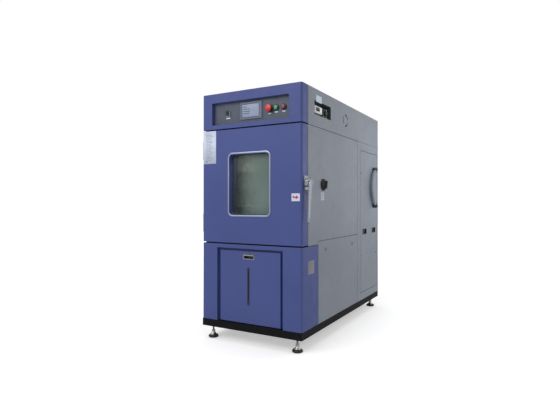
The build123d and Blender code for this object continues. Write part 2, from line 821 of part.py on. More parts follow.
with BuildPart() as window_trim:
    with BuildSketch(at_y(front_y)):
        window_shape(trim_w)
        window_shape(0, mode=Mode.SUBTRACT)
    extrude(amount=trim_proud)
    fillet(window_trim.edges().group_by(Axis.Y)[0], 1.2)
save(window_trim, "window_trim")

pane_out_y = front_y + rim_deep
pane_in_y = door_back + tray_d - sheet - pane_in_t
with BuildPart() as window_panes:
    for pane_y, pane_t in ((pane_out_y, pane_out_t), (pane_in_y, pane_in_t)):
        with BuildSketch(at_y(pane_y)):
            window_shape(pane_lap - seat_gap)
        extrude(amount=-pane_t)
save(window_panes, "window_panes")

with BuildPart() as window_spacer:
    with BuildSketch(at_y(pane_out_y + pane_out_t)):
        window_shape(pane_lap - seat_gap)
        window_shape(0, mode=Mode.SUBTRACT)
    extrude(amount=-(pane_in_y - pane_out_y - pane_out_t))
save(window_spacer, "window_spacer")

with BuildPart() as door_gasket:
    with BuildSketch(at_y(door_back)):
        rect(
            left_x + gasket_inset, right_x - gasket_inset,
            door_z0 + gasket_inset, door_z1 - gasket_inset,
        )
        fillet(vertices(), 10)
        offset(amount=-gasket_w, mode=Mode.SUBTRACT)
    extrude(amount=-(gasket_d - seat_gap))
    fillet(door_gasket.edges().group_by(Axis.Y)[-1], 1.5)
save(door_gasket, "door_gasket")

# Hinges on the left side: cabinet leaf with two knuckles and a pin, door leaf with one
hinge_h = 110.0
hinge_t = 4.0
leaf_w = 52.0
leaf_start = 14.0
knuckle_gap = 0.4
pin_r = 5.0
hinge_x = left_x - hinge_axis_out
hinge_y = door_back + 3.0
hinge_places = (door_bottom + 120.0, box_bottom - 120.0)
third = hinge_h / 3


def knuckle(z0, z1, bore):
    """Hinge barrel round the pin's axis."""
    with BuildSketch(at_z(z0)) as ring:
        with Locations((hinge_x, hinge_y)):
            Circle(knuckle_r)
            Circle(bore, mode=Mode.SUBTRACT)
    extrude(ring.sketch, amount=z1 - z0)


def hinge_web(z0, z1, side, bore):
    """Strap from the knuckle to the leaf; side is +1 to the rear, -1 to the front."""
    with BuildSketch(at_z(z0)) as strap:
        rect(
            hinge_x + knuckle_r - hinge_t, left_x,
            min(hinge_y, hinge_y + side * leaf_start), max(hinge_y, hinge_y + side * leaf_start),
        )
        with Locations((hinge_x, hinge_y)):
            Circle(bore, mode=Mode.SUBTRACT)
    extrude(strap.sketch, amount=z1 - z0)


def hinge_leaf(z0, side):
    near = hinge_y + side * leaf_start
    far = hinge_y + side * (leaf_start + leaf_w)
    with BuildSketch(at_z(z0)) as leaf:
        rect(left_x - hinge_t, left_x, min(near, far), max(near, far))
    extrude(leaf.sketch, amount=hinge_h)


with BuildPart() as door_hinge_leaves:
    for centre_z in hinge_places:
        low = centre_z - hinge_h / 2
        hinge_leaf(low, -1)
        knuckle(low + third + knuckle_gap, low + 2 * third - knuckle_gap, pin_r + running)
        hinge_web(low + third + knuckle_gap, low + 2 * third - knuckle_gap, -1, pin_r + running)
save(door_hinge_leaves, "door_hinge_leaves")

with BuildPart() as cabinet_hinges:
    for centre_z in hinge_places:
        low = centre_z - hinge_h / 2
        hinge_leaf(low, 1)
        for z0 in (low, low + 2 * third):
            knuckle(z0, z0 + third, 0.1)
            hinge_web(z0, z0 + third, 1, 0.1)
        with BuildSketch(at_z(low)):
            with Locations((hinge_x, hinge_y)):
                Circle(pin_r)
        extrude(amount=hinge_h + 5)
save(cabinet_hinges, "cabinet_hinges")

# Latch: chrome head on the door's right edge, a lever that swings forward, a strike behind
latch_y0 = front_y + 18.0
latch_y1 = front_y + 92.0
latch_z = foot_h + 872.0
latch_plate_t = 5.0
latch_plate_h = 78.0
latch_head_x = right_x + latch_out
lever_y = front_y + 50.0
lever_z = foot_h + 866.0
lever_pin_r = 6.0
lever_pin_in = 14.0
lever_len = 222.0
lever_lean = 19.0
lever_hub_r = 17.0
lever_end_r = 9.0
strike_gap = 5.0
strike_w = 32.0
strike_h = 44.0
strike_out = 18.0
strike_t = 4.0

with BuildPart() as latch_body:
    with BuildSketch(at_x(right_x)):
        with Locations(((latch_y0 + door_back - 3) / 2, latch_z)):
            RectangleRounded(door_back - 3 - latch_y0, latch_plate_h, 6)
    extrude(amount=latch_plate_t)
    with BuildSketch(at_x(right_x + latch_plate_t - 1)):
        with BuildLine():
            Polyline(
                (latch_y0 + 6, latch_z - 20), (latch_y0 + 6, latch_z + 16),
                (lever_y, latch_z + 24), (latch_y1, latch_z + 11),
                (latch_y1, latch_z - 13), (lever_y, latch_z - 26), close=True,
            )
        make_face()
        fillet(vertices(), 7)
    extrude(amount=latch_head_x - right_x - latch_plate_t + 1)
    fillet(latch_body.edges().group_by(Axis.X)[-1], 5)
    with BuildSketch(at_x(latch_head_x)):
        with Locations((lever_y, lever_z)):
            Circle(lever_pin_r + running)
    extrude(amount=-(lever_pin_in + 1), mode=Mode.SUBTRACT)
save(latch_body, "latch_body")

lever_x = latch_head_x + seat_gap
lever_len_y = lever_y - lever_lean
lever_end_z = lever_z - lever_len + lever_end_r
with BuildPart() as latch_lever:
    with BuildSketch(at_x(lever_x)):
        with Locations((lever_y, lever_z)):
            Circle(lever_hub_r)
        with Locations((lever_len_y, lever_end_z)):
            Circle(lever_end_r)
        make_hull()
    extrude(amount=lever_t)
    fillet(latch_lever.edges().group_by(Axis.X)[-1], 3.5)
    fillet(latch_lever.edges().group_by(Axis.X)[0], 2)
    with BuildSketch(at_x(lever_x)):
        with Locations((lever_y, lever_z)):
            Circle(lever_pin_r)
    extrude(amount=-lever_pin_in)
save(latch_lever, "latch_lever")

strike_y0 = latch_y1 + strike_gap
with BuildPart() as latch_strike:
    with BuildSketch(at_x(right_x)):
        with Locations((strike_y0 + strike_w / 2, latch_z)):
            RectangleRounded(strike_w, strike_h, 5)
    extrude(amount=strike_t)
    with BuildSketch(at_z(latch_z - 9)):
        with BuildLine():
            Polyline(
                (right_x + strike_t, strike_y0 + 5), (right_x + strike_out - 5, strike_y0 + 5),
                (right_x + strike_out, strike_y0 + 11),
                (right_x + strike_t, strike_y0 + strike_w - 5), close=True,
            )
        make_face()
    extrude(amount=18)
save(latch_strike, "latch_strike")

# Cable port: steel sleeve through the right wall with a black flange, closed by a rubber plug
flange_r = 36.0
flange_t = 6.0
plug_clear = 0.3
plug_in = 46.0
plug_cap_r = 29.0
plug_cap_t = 7.0
plug_grip_w = 14.0
plug_grip_out = 22.0

with BuildPart() as port_sleeve:
    with BuildSketch(at_x(cavity_x1)):
        with Locations((port_y, port_z)):
            Circle(port_r + port_wall)
            Circle(port_r, mode=Mode.SUBTRACT)
    extrude(amount=right_x - cavity_x1)
    with BuildSketch(at_x(right_x)):
        with Locations((port_y, port_z)):
            Circle(flange_r)
            Circle(port_r, mode=Mode.SUBTRACT)
    extrude(amount=flange_t)
    fillet(port_sleeve.edges().group_by(Axis.X)[-1].sort_by(SortBy.LENGTH)[-1], 2)
save(port_sleeve, "port_sleeve")

plug_x = right_x + flange_t + seat_gap
with BuildPart() as port_plug:
    with BuildSketch(at_x(plug_x)):
        with Locations((port_y, port_z)):
            Circle(port_r - plug_clear)
    extrude(amount=-plug_in, taper=1.5)
    with BuildSketch(at_x(plug_x)):
        with Locations((port_y, port_z)):
            Circle(plug_cap_r)
    extrude(amount=plug_cap_t)
    fillet(port_plug.edges().group_by(Axis.X)[-1], 3)
    with BuildSketch(at_x(plug_x + plug_cap_t - 1)):
        with Locations((port_y, port_z)):
            SlotOverall(2 * plug_cap_r - 8, plug_grip_w, rotation=78)
    extrude(amount=plug_grip_out - plug_cap_t, taper=5)
save(port_plug, "port_plug")

# Inside the chamber: shelf uprights, two wire shelves and the air baffle
upright_w = 22.0
upright_t = 10.0
upright_inset = 55.0
hook_pitch = 60.0
shelf_inset = seat_gap
wire_r = 3.0
cross_wire_r = 2.0
wire_count = 13
shelf_heights = (cavity_z0 + 180.0, cavity_z0 + 390.0)
shelf_d = cavity_d - 40.0
shelf_y0 = casing_y + tray_d + 12.0

with BuildPart() as shelf_uprights:
    for x0, x1 in (
        (cavity_x0, cavity_x0 + upright_t),
        (cavity_x1 - upright_t, cavity_x1),
    ):
        for y0 in (casing_y + upright_inset, baffle_y - upright_inset - upright_w):
            with BuildSketch(at_x(x0)):
                rect(y0, y0 + upright_w, cavity_z0 + 40, cavity_z1 - 40)
                for step in range(8):
                    with Locations((y0 + upright_w / 2, cavity_z0 + 90 + step * hook_pitch)):
                        Rectangle(6, 14, mode=Mode.SUBTRACT)
            extrude(amount=x1 - x0)
save(shelf_uprights, "shelf_uprights")

shelf_x0 = cavity_x0 + upright_t + shelf_inset
shelf_x1 = cavity_x1 - upright_t - shelf_inset
with BuildPart() as shelves:
    for shelf_z in shelf_heights:
        with BuildSketch(at_z(shelf_z - wire_r)):
            rect(shelf_x0, shelf_x1, shelf_y0, shelf_y0 + shelf_d)
            fillet(vertices(), 10)
            offset(amount=-2 * wire_r, mode=Mode.SUBTRACT)
        extrude(amount=2 * wire_r)
        for i in range(1, wire_count + 1):
            wire_x = shelf_x0 + i * (shelf_x1 - shelf_x0) / (wire_count + 1)
            with BuildSketch(at_y(shelf_y0 + wire_r)):
                with Locations((wire_x, shelf_z)):
                    RegularPolygon(cross_wire_r, 6)
            extrude(amount=-(shelf_d - 2 * wire_r))
save(shelves, "shelves")

with BuildPart() as air_baffle:
    with BuildSketch(at_y(baffle_y)):
        rect(cavity_x0, cavity_x1, cavity_z0, cavity_z1)
        for row in range(5):
            slot_z = cavity_z0 + 30 + row * 16
            rect(mid_x - 200, mid_x + 200, slot_z, slot_z + 7, mode=Mode.SUBTRACT)
        for row in range(4):
            slot_z = cavity_z1 - 30 - row * 18
            rect(mid_x - 200, mid_x + 200, slot_z - 9, slot_z, mode=Mode.SUBTRACT)
    extrude(amount=-liner_t)
save(air_baffle, "air_baffle")

# Air treatment behind the baffle: evaporator, heater rods, blower wheel and its motor
coil_d = 70.0
coil_h = 200.0
coil_w = 400.0
coil_z = cavity_z0 + 60.0
fin_t = 4.0
fin_count = 16
tube_r = 5.0

with BuildPart() as evaporator:
    for i in range(fin_count):
        fin_x = mid_x - coil_w / 2 + i * (coil_w - fin_t) / (fin_count - 1)
        block(fin_x, fin_x + fin_t, liner_back - coil_d, liner_back, coil_z, coil_z + coil_h)
    for row_z in (0.2, 0.5, 0.8):
        for row_y in (0.3, 0.7):
            with BuildSketch(at_x(mid_x - coil_w / 2 - 12)):
                with Locations((liner_back - row_y * coil_d, coil_z + row_z * coil_h)):
                    Circle(tube_r)
            extrude(amount=coil_w + 24)
save(evaporator, "evaporator")

heater_z = coil_z + coil_h + 40.0
heater_y = liner_back - 45.0
heater_w = 360.0
rod_r = 4.0
rod_pitch = 24.0
with BuildPart() as heater:
    for row in range(4):
        with BuildSketch(at_x(mid_x - heater_w / 2)):
            with Locations((heater_y, heater_z + row * rod_pitch)):
                Circle(rod_r)
        extrude(amount=heater_w)
    for bracket_x in (mid_x - heater_w / 2 + 20, mid_x + heater_w / 2 - 30):
        block(
            bracket_x, bracket_x + 10, heater_y - 6, liner_back,
            heater_z - 10, heater_z + 3 * rod_pitch + 10,
        )
save(heater, "heater")

# Blower wheel: back plate, front ring and curved blades between them, turned by a long shaft
wheel_r = 96.0
wheel_in_r = 68.0
wheel_w = 58.0
wheel_plate_t = 3.0
blade_count = 24
blade_t = 2.0
hub_r = 20.0
wheel_y1 = liner_back - 18.0
wheel_y0 = wheel_y1 - wheel_w
motor_r = 62.0
motor_len = 120.0
motor_flange_t = 8.0
motor_y = foam_y1 + motor_flange_t
shaft_end = motor_y + motor_len - 20

with BuildPart() as blower_wheel:
    with BuildSketch(at_y(wheel_y1)):
        with Locations((mid_x, shaft_z)):
            Circle(wheel_r)
    extrude(amount=wheel_plate_t)
    with BuildSketch(at_y(wheel_y0 + wheel_plate_t)):
        with Locations((mid_x, shaft_z)):
            Circle(wheel_r)
            Circle(wheel_in_r, mode=Mode.SUBTRACT)
    extrude(amount=wheel_plate_t)
    blade_plane = Plane((mid_x, wheel_y1 - wheel_plate_t, shaft_z), x_dir=(1, 0, 0), z_dir=(0, -1, 0))
    with BuildSketch(blade_plane):
        with PolarLocations(0, blade_count):
            with BuildLine():
                outer = ThreePointArc((wheel_in_r + 1, 0), (wheel_in_r + 13, 5), (wheel_r - 1, 16))
                inner = ThreePointArc(
                    (wheel_in_r + 1, -blade_t), (wheel_in_r + 14, 5 - blade_t), (wheel_r - 1, 16 - blade_t),
                )
                Line(outer @ 0, inner @ 0)
                Line(outer @ 1, inner @ 1)
            make_face()
    extrude(amount=wheel_w - 2 * wheel_plate_t)
    with BuildSketch(at_y(wheel_y1)):
        with Locations((mid_x, shaft_z)):
            Circle(hub_r)
    extrude(amount=28)
    with BuildSketch(at_y(wheel_y1)):
        with Locations((mid_x, shaft_z)):
            Circle(shaft_r)
    extrude(amount=-(shaft_end - wheel_y1))
save(blower_wheel, "blower_wheel")

with BuildPart() as blower_motor:
    with BuildSketch(at_y(foam_y1)):
        with Locations((mid_x, shaft_z)):
            RectangleRounded(2 * motor_r + 30, 2 * motor_r + 30, 12)
    extrude(amount=-motor_flange_t)
    with BuildSketch(at_y(motor_y)):
        with Locations((mid_x, shaft_z)):
            Circle(motor_r)
            with PolarLocations(motor_r, 20):
                Rectangle(6, 3)
    extrude(amount=-motor_len)
    with BuildSketch(at_y(foam_y1)):
        with Locations((mid_x, shaft_z)):
            Circle(shaft_r + running)
    extrude(amount=-(shaft_end + 5 - foam_y1), mode=Mode.SUBTRACT)
save(blower_motor, "blower_motor")

# Machine compartment: compressor, condenser with its fan, and the refrigerant pipes
comp_x = mid_x - 120.0
comp_y = front_y + 1080.0
comp_r = 92.0
comp_h = 250.0
comp_foot = 20.0
stub_y = comp_y + comp_r - 30.0
stub_r = 7.0
stub_rise = 20.0
cond_x0 = mid_x - 40.0
cond_w = 300.0
cond_h = 300.0
cond_d = 60.0
cond_y1 = rear_y - sheet - rear_post_w - 10.0
cond_y0 = cond_y1 - cond_d
cond_fins = 18
cond_rise = 12.0
shroud_d = 46.0
fan_r = 118.0
fan_clear = 6.0
fan_hub_r = 30.0
fan_hub_d = 24.0
fan_x = cond_x0 + cond_w / 2
fan_z = base_top + cond_rise + cond_h / 2
fan_shaft_r = 5.0
fan_motor_r = 34.0
fan_motor_d = 50.0
fan_y = cond_y0 - 28.0

with BuildPart() as compressor:
    with BuildSketch(Plane((comp_x, comp_y, base_top), x_dir=(1, 0, 0), z_dir=(0, -1, 0))):
        with BuildLine():
            Polyline((0, comp_foot), (comp_r - 12, comp_foot), (comp_r, comp_foot + 16))
            Line((comp_r, comp_foot + 16), (comp_r, comp_h - 46))
            Spline((comp_r, comp_h - 46), (comp_r * 0.72, comp_h - 12), (0, comp_h))
            Line((0, comp_h), (0, comp_foot))
        make_face()
    revolve(axis=Axis((comp_x, comp_y, 0), (0, 0, 1)))
    with BuildSketch(at_z(base_top)):
        with Locations((comp_x, comp_y)):
            with PolarLocations(comp_r + 12, 3, start_angle=30):
                Circle(16)
    extrude(amount=comp_foot)
    with BuildSketch(at_z(base_top + comp_foot)):
        with Locations((comp_x, comp_y)):
            with PolarLocations(comp_r - 8, 3, start_angle=30):
                Rectangle(66, 32)
    extrude(amount=4)
    block(
        comp_x - 26, comp_x + 26, comp_y - comp_r - 24, comp_y - comp_r + 12,
        base_top + 110, base_top + 180,
    )
    with BuildSketch(at_z(base_top + comp_h - 60)):
        with Locations((comp_x, stub_y)):
            Circle(stub_r)
    extrude(amount=60 + stub_rise)
save(compressor, "compressor")

with BuildPart() as condenser:
    for i in range(cond_fins):
        fin_x = cond_x0 + i * (cond_w - fin_t) / (cond_fins - 1)
        block(fin_x, fin_x + fin_t, cond_y0, cond_y1, base_top, base_top + cond_rise + cond_h)
    with BuildSketch(at_x(cond_x0 - 14)):
        for row_z in (0.15, 0.38, 0.62, 0.85):
            with Locations((cond_y0 + cond_d / 2, base_top + cond_rise + row_z * cond_h)):
                Circle(tube_r)
    extrude(amount=cond_w + 28)
    with BuildSketch(at_y(cond_y0)):
        rect(cond_x0, cond_x0 + cond_w, base_top, base_top + cond_rise + cond_h)
        with Locations((fan_x, fan_z)):
            Circle(fan_r + fan_clear, mode=Mode.SUBTRACT)
    extrude(amount=2)
    with BuildSketch(at_y(cond_y0 - 2)):
        with Locations((fan_x, fan_z)):
            Circle(fan_r + fan_clear + 2)
            Circle(fan_r + fan_clear, mode=Mode.SUBTRACT)
    extrude(amount=shroud_d)
    with BuildSketch(at_y(cond_y0 - 2 - shroud_d + 3)):
        with Locations((fan_x, fan_z)):
            Circle(fan_motor_r)
            with PolarLocations(0, 4, start_angle=45):
                with Locations(((fan_r + fan_clear + 1) / 2, 0)):
                    Rectangle(fan_r + fan_clear + 1, 8)
    extrude(amount=3)
    with BuildSketch(at_y(cond_y0 - 2 - shroud_d)):
        with Locations((fan_x, fan_z)):
            Circle(fan_motor_r)
    extrude(amount=fan_motor_d)
    with BuildSketch(at_y(cond_y0 - shroud_d + 5)):
        with Locations((fan_x, fan_z)):
            Circle(fan_shaft_r + running)
    extrude(amount=45, mode=Mode.SUBTRACT)
save(condenser, "condenser")

with BuildPart() as condenser_fan:
    with BuildSketch(at_y(fan_y + fan_hub_d / 2)):
        with Locations((fan_x, fan_z)):
            Circle(fan_hub_r)
    extrude(amount=fan_hub_d)
    for blade in range(5):
        turn = blade * 72.0
        radial = Vector(math.cos(math.radians(turn)), 0, math.sin(math.radians(turn)))
        centre = Vector(fan_x, fan_y, fan_z)
        blade_root = Plane(centre + radial * (fan_hub_r - 3), x_dir=(0, 1, 0), z_dir=radial)
        blade_tip = Plane(centre + radial * (fan_r - 2), x_dir=(0, 1, 0), z_dir=radial)
        with BuildSketch(blade_root):
            Rectangle(30, 2.2, rotation=50)
        with BuildSketch(blade_tip):
            Rectangle(62, 2.2, rotation=66)
        loft()
    with BuildSketch(at_y(fan_y)):
        with Locations((fan_x, fan_z)):
            Circle(fan_shaft_r)
    extrude(amount=fan_y - cond_y0 + shroud_d + 24)
save(condenser_fan, "condenser_fan")

pipe_r = 5.0
pipe_bend = 22.0
pipe_top = base_top + comp_h + 90.0
pipe_in_z = base_top + cond_rise + 0.85 * cond_h
cond_mid_y = cond_y0 + cond_d / 2
with BuildPart() as refrigerant_pipes:
    with BuildLine() as discharge:
        FilletPolyline(
            (comp_x, stub_y, base_top + comp_h + stub_rise),
            (comp_x, stub_y, pipe_top),
            (comp_x, cond_mid_y, pipe_top),
            (comp_x, cond_mid_y, pipe_in_z),
            (cond_x0 - 14, cond_mid_y, pipe_in_z),
            radius=pipe_bend,
        )
    with BuildSketch(Plane(discharge.line @ 0, z_dir=discharge.line % 0)):
        Circle(pipe_r)
    sweep()
save(refrigerant_pipes, "refrigerant_pipes")

# Control gear on a mounting plate that lies on top of the foam
gear_plate_t = 2.0
gear_x0 = mid_x - 260.0
gear_x1 = mid_x + 200.0
gear_y0 = front_y + 180.0
gear_y1 = front_y + 640.0
with BuildPart() as electrical_plate:
    block(gear_x0, gear_x1, gear_y0, gear_y1, foam_z1, foam_z1 + gear_plate_t)
    for row, (gear_w, gear_d, gear_h, count) in enumerate(
        ((46, 76, 84, 6), (70, 90, 60, 4), (92, 96, 74, 3))
    ):
        row_y = gear_y0 + 30 + row * 140
        for i in range(count):
            gear_x = gear_x0 + 20 + i * (gear_w + 12)
            block(
                gear_x, gear_x + gear_w, row_y, row_y + gear_d,
                foam_z1 + gear_plate_t, foam_z1 + gear_plate_t + gear_h,
            )
save(electrical_plate, "electrical_plate")

# Lower front cover: blue, wraps both sides, with a stepped opening for the water drawer
opening_x0 = mid_x - 239.0
opening_x1 = mid_x + 220.0
opening_z1 = foot_h + 489.0
groove_d = 26.0
groove_side = 20.0
groove_top = 15.0
lip_lap = 10.0

with BuildPart() as lower_front_cover:
    with BuildSketch(at_z(base_top + panel_gap / 2)):
        front_plan(wrap_d)
    extrude(amount=cover_top - base_top - panel_gap / 2)
    with BuildSketch(at_z(base_top)):
        front_plan(wrap_d, inset=sheet)
    extrude(amount=cover_top - base_top, mode=Mode.SUBTRACT)
    with BuildSketch(at_y(front_y)):
        rect(opening_x0 - sheet, opening_x1 + sheet, base_top + panel_gap / 2, opening_z1 + sheet)
    extrude(amount=-groove_d)
    with BuildSketch(at_y(front_y)):
        rect(opening_x0, opening_x1, base_top, opening_z1)
    extrude(amount=-groove_d + sheet, mode=Mode.SUBTRACT)
    with BuildSketch(at_y(front_y)):
        rect(
            opening_x0 + groove_side + lip_lap, opening_x1 - groove_side - lip_lap,
            base_top, opening_z1 - groove_top - lip_lap,
        )
    extrude(amount=-groove_d, mode=Mode.SUBTRACT)
save(lower_front_cover, "lower_front_cover")

# Water drawer: blue front with a chrome pull and a level gauge, and the tank behind it
drawer_set_back = 8.0
drawer_bottom_gap = 5.0
drawer_x0 = opening_x0 + groove_side
drawer_x1 = opening_x1 - groove_side
drawer_z0 = base_top + drawer_bottom_gap
drawer_z1 = opening_z1 - groove_top
drawer_y0 = front_y + drawer_set_back
drawer_y1 = front_y + groove_d - sheet - seat_gap
pull_x = mid_x - 13.5
pull_z = foot_h + 442.5
pull_w = 81.0
pull_h = 36.0
pull_cup_w = 65.0
pull_cup_h = 24.0
pull_deep = 22.0
gauge_x = mid_x - 16.0
gauge_z0 = foot_h + 165.0
gauge_z1 = foot_h + 368.0
gauge_slot = 12.0
gauge_end_r = 9.5
tank_w = 360.0
tank_d = 420.0
tank_h = 240.0
tank_wall = 4.0
tank_rise = 22.0
runner_t = 12.0
runner_h = 36.0
runner_gap = 0.4
runner_plate = 3.0

with BuildPart() as drawer_front:
    with BuildSketch(at_y(drawer_y0)):
        rect(drawer_x0, drawer_x1, drawer_z0, drawer_z1)
    extrude(amount=-(drawer_y1 - drawer_y0))
    fillet(drawer_front.edges().group_by(Axis.Y)[0], 1.2)
    with BuildSketch(at_y(drawer_y0 + sheet)):
        rect(drawer_x0 + sheet, drawer_x1 - sheet, drawer_z0 + sheet, drawer_z1 - sheet)
    extrude(amount=-(drawer_y1 - drawer_y0), mode=Mode.SUBTRACT)
    with BuildSketch(at_y(drawer_y0)):
        with Locations((pull_x, pull_z)):
            Rectangle(pull_cup_w + 4, pull_cup_h + 4)
        rect(gauge_x - gauge_slot / 2, gauge_x + gauge_slot / 2, gauge_z0, gauge_z1)
        with Locations((gauge_x, gauge_z0), (gauge_x, gauge_z1)):
            Circle(gauge_end_r + seat_gap)
    extrude(amount=-2 * sheet, mode=Mode.SUBTRACT)
save(drawer_front, "drawer_front")

with BuildPart() as drawer_pull:
    with BuildSketch(at_y(drawer_y0)):
        with Locations((pull_x, pull_z)):
            RectangleRounded(pull_w, pull_h, 5)
    extrude(amount=1.5)
    with BuildSketch(at_y(drawer_y0)):
        with Locations((pull_x, pull_z)):
            Rectangle(pull_cup_w + 3, pull_cup_h + 3)
    extrude(amount=-pull_deep)
    with BuildSketch(at_x(pull_x - pull_cup_w / 2 - 3)):
        with BuildLine():
            Polyline((drawer_y0, pull_z + pull_h / 2 - 1), (drawer_y0 - 6, pull_z + pull_h / 2 - 6))
            Polyline((drawer_y0 - 6, pull_z + pull_h / 2 - 6), (drawer_y0 - 7, pull_z + 5))
            Polyline((drawer_y0 - 7, pull_z + 5), (drawer_y0 - 5, pull_z + 5))
            Polyline(
                (drawer_y0 - 5, pull_z + 5), (drawer_y0, pull_z + pull_cup_h / 2),
                (drawer_y0, pull_z + pull_h / 2 - 1),
            )
        make_face()
    extrude(amount=pull_cup_w + 6)
    with BuildSketch(at_y(drawer_y0 - 1.5)):
        with Locations((pull_x, pull_z)):
            Rectangle(pull_cup_w, pull_cup_h)
    extrude(amount=-pull_deep, mode=Mode.SUBTRACT)
save(drawer_pull, "drawer_pull")

with BuildPart() as level_gauge:
    with BuildSketch(at_z(gauge_z0)):
        with Locations((gauge_x, drawer_y0 + 9)):
            Circle(4)
    extrude(amount=gauge_z1 - gauge_z0)
    with BuildSketch(at_y(drawer_y0)):
        with Locations((gauge_x, gauge_z0), (gauge_x, gauge_z1)):
            Circle(gauge_end_r)
    extrude(amount=-(drawer_y1 - drawer_y0))
save(level_gauge, "level_gauge")

tank_x0 = (drawer_x0 + drawer_x1) / 2 - tank_w / 2
tank_x1 = tank_x0 + tank_w
tank_z0 = base_top + tank_rise
with BuildPart() as water_tank:
    block(tank_x0, tank_x1, drawer_y1, drawer_y1 + tank_d, tank_z0, tank_z0 + tank_h)
    block(
        tank_x0 + tank_wall, tank_x1 - tank_wall, drawer_y1 + tank_wall,
        drawer_y1 + tank_d - tank_wall, tank_z0 + tank_wall, tank_z0 + tank_h,
        mode=Mode.SUBTRACT,
    )
    block(tank_x0 - runner_t / 2, tank_x0, drawer_y1, drawer_y1 + tank_d, tank_z0 + 70, tank_z0 + 90)
    block(tank_x1, tank_x1 + runner_t / 2, drawer_y1, drawer_y1 + tank_d, tank_z0 + 70, tank_z0 + 90)
    for ear_x in (tank_x0 + 20, tank_x1 - 40):
        block(ear_x, ear_x + 20, drawer_y0 + sheet, drawer_y1, tank_z0 + 30, tank_z0 + tank_h - 30)
save(water_tank, "water_tank")

with BuildPart() as drawer_runners:
    for side, x_in in ((-1, tank_x0), (1, tank_x1)):
        near = x_in + side * runner_gap
        far = x_in + side * (runner_t + runner_plate)
        with BuildSketch(at_y(front_y + groove_d + 8)):
            rect(min(near, far), max(near, far), tank_z0 + 62, tank_z0 + 62 + runner_h)
            groove_far = x_in + side * (runner_t / 2 + runner_gap)
            rect(
                min(near, groove_far), max(near, groove_far),
                tank_z0 + 70 - runner_gap, tank_z0 + 90 + runner_gap, mode=Mode.SUBTRACT,
            )
        extrude(amount=-(tank_d + 46))
        plate_near = x_in + side * runner_t
        block(
            min(plate_near, far), max(plate_near, far),
            front_y + groove_d + 8, drawer_rail_y + cross_rail_w, base_top, tank_z0 + 62,
        )
save(drawer_runners, "drawer_runners")

# Service hose on the right, held at both ends by elbows on the rear side panel
hose_bend = 150.0
hose_low = foot_h + 757.0
hose_high = foot_h + 1000.0
hose_y = front_y + 1242.0
hose_straight = 14.0
elbow_in = 30.0
elbow_flange_r = 23.0
half_chord = (hose_high - hose_low) / 2
half_turn = math.asin(half_chord / hose_bend)
hose_x = right_x + hose_out
hose_mid_z = (hose_high + hose_low) / 2
sagitta = hose_bend * (1 - math.cos(half_turn))
away = (math.sin(half_turn) * hose_straight, math.cos(half_turn) * hose_straight)

with BuildPart() as hose:
    with BuildLine() as hose_path:
        Line(
            (hose_x, hose_y + away[0], hose_high + away[1]),
            (hose_x, hose_y, hose_high),
        )
        ThreePointArc(
            (hose_x, hose_y, hose_high),
            (hose_x, hose_y - sagitta, hose_mid_z),
            (hose_x, hose_y, hose_low),
        )
        Line(
            (hose_x, hose_y, hose_low),
            (hose_x, hose_y + away[0], hose_low - away[1]),
        )
    with BuildSketch(Plane(hose_path.line @ 0, z_dir=hose_path.line % 0)):
        Circle(hose_r)
    sweep()
save(hose, "hose")

# Pipe elbows of the hose, the supply gland and the drain stub
gland_r = 18.0
gland_bore_r = 8.0
drain_r = 8.5
with BuildPart() as service_fittings:
    for end_z, up in ((hose_high, 1), (hose_low, -1)):
        start = (hose_x, hose_y + away[0], end_z + up * away[1])
        along = (0, math.sin(half_turn), up * math.cos(half_turn))
        with BuildSketch(Plane(start, z_dir=along)):
            Circle(elbow_r)
        extrude(amount=elbow_in)
        centre_y = start[1] + along[1] * elbow_in / 2
        centre_z = start[2] + along[2] * elbow_in / 2
        with BuildSketch(at_x(right_x)):
            with Locations((centre_y, centre_z)):
                Circle(elbow_r - 4)
        extrude(amount=hose_out)
        with BuildSketch(at_x(right_x)):
            with Locations((centre_y, centre_z)):
                Circle(elbow_flange_r)
        extrude(amount=elbow_flange_t)
    with BuildSketch(at_y(rear_y)):
        with Locations((gland_x, gland_z)):
            RegularPolygon(gland_r, 6)
    extrude(amount=-10)
    with BuildSketch(at_y(rear_y + 10)):
        with Locations((gland_x, gland_z)):
            Circle(gland_r - 4)
    extrude(amount=-18, taper=8)
    with BuildSketch(at_y(rear_y - sheet - 8)):
        with Locations((gland_x, gland_z)):
            Circle(gland_hole_r)
    extrude(amount=-(sheet + 8))
    with BuildSketch(at_y(rear_y - sheet - 8)):
        with Locations((gland_x, gland_z)):
            Circle(gland_bore_r)
    extrude(amount=-(sheet + 36), mode=Mode.SUBTRACT)
    with BuildSketch(at_y(rear_y)):
        with Locations((drain_x, drain_z)):
            Circle(drain_r + 6)
    extrude(amount=-5)
    with BuildSketch(at_y(rear_y - sheet - 12)):
        with Locations((drain_x, drain_z)):
            Circle(drain_r)
            Circle(drain_r - 2.5, mode=Mode.SUBTRACT)
    extrude(amount=-(sheet + 12 + rear_out))
save(service_fittings, "service_fittings")
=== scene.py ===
import json
import math

import bmesh
import bpy
from mathutils import Matrix, Vector


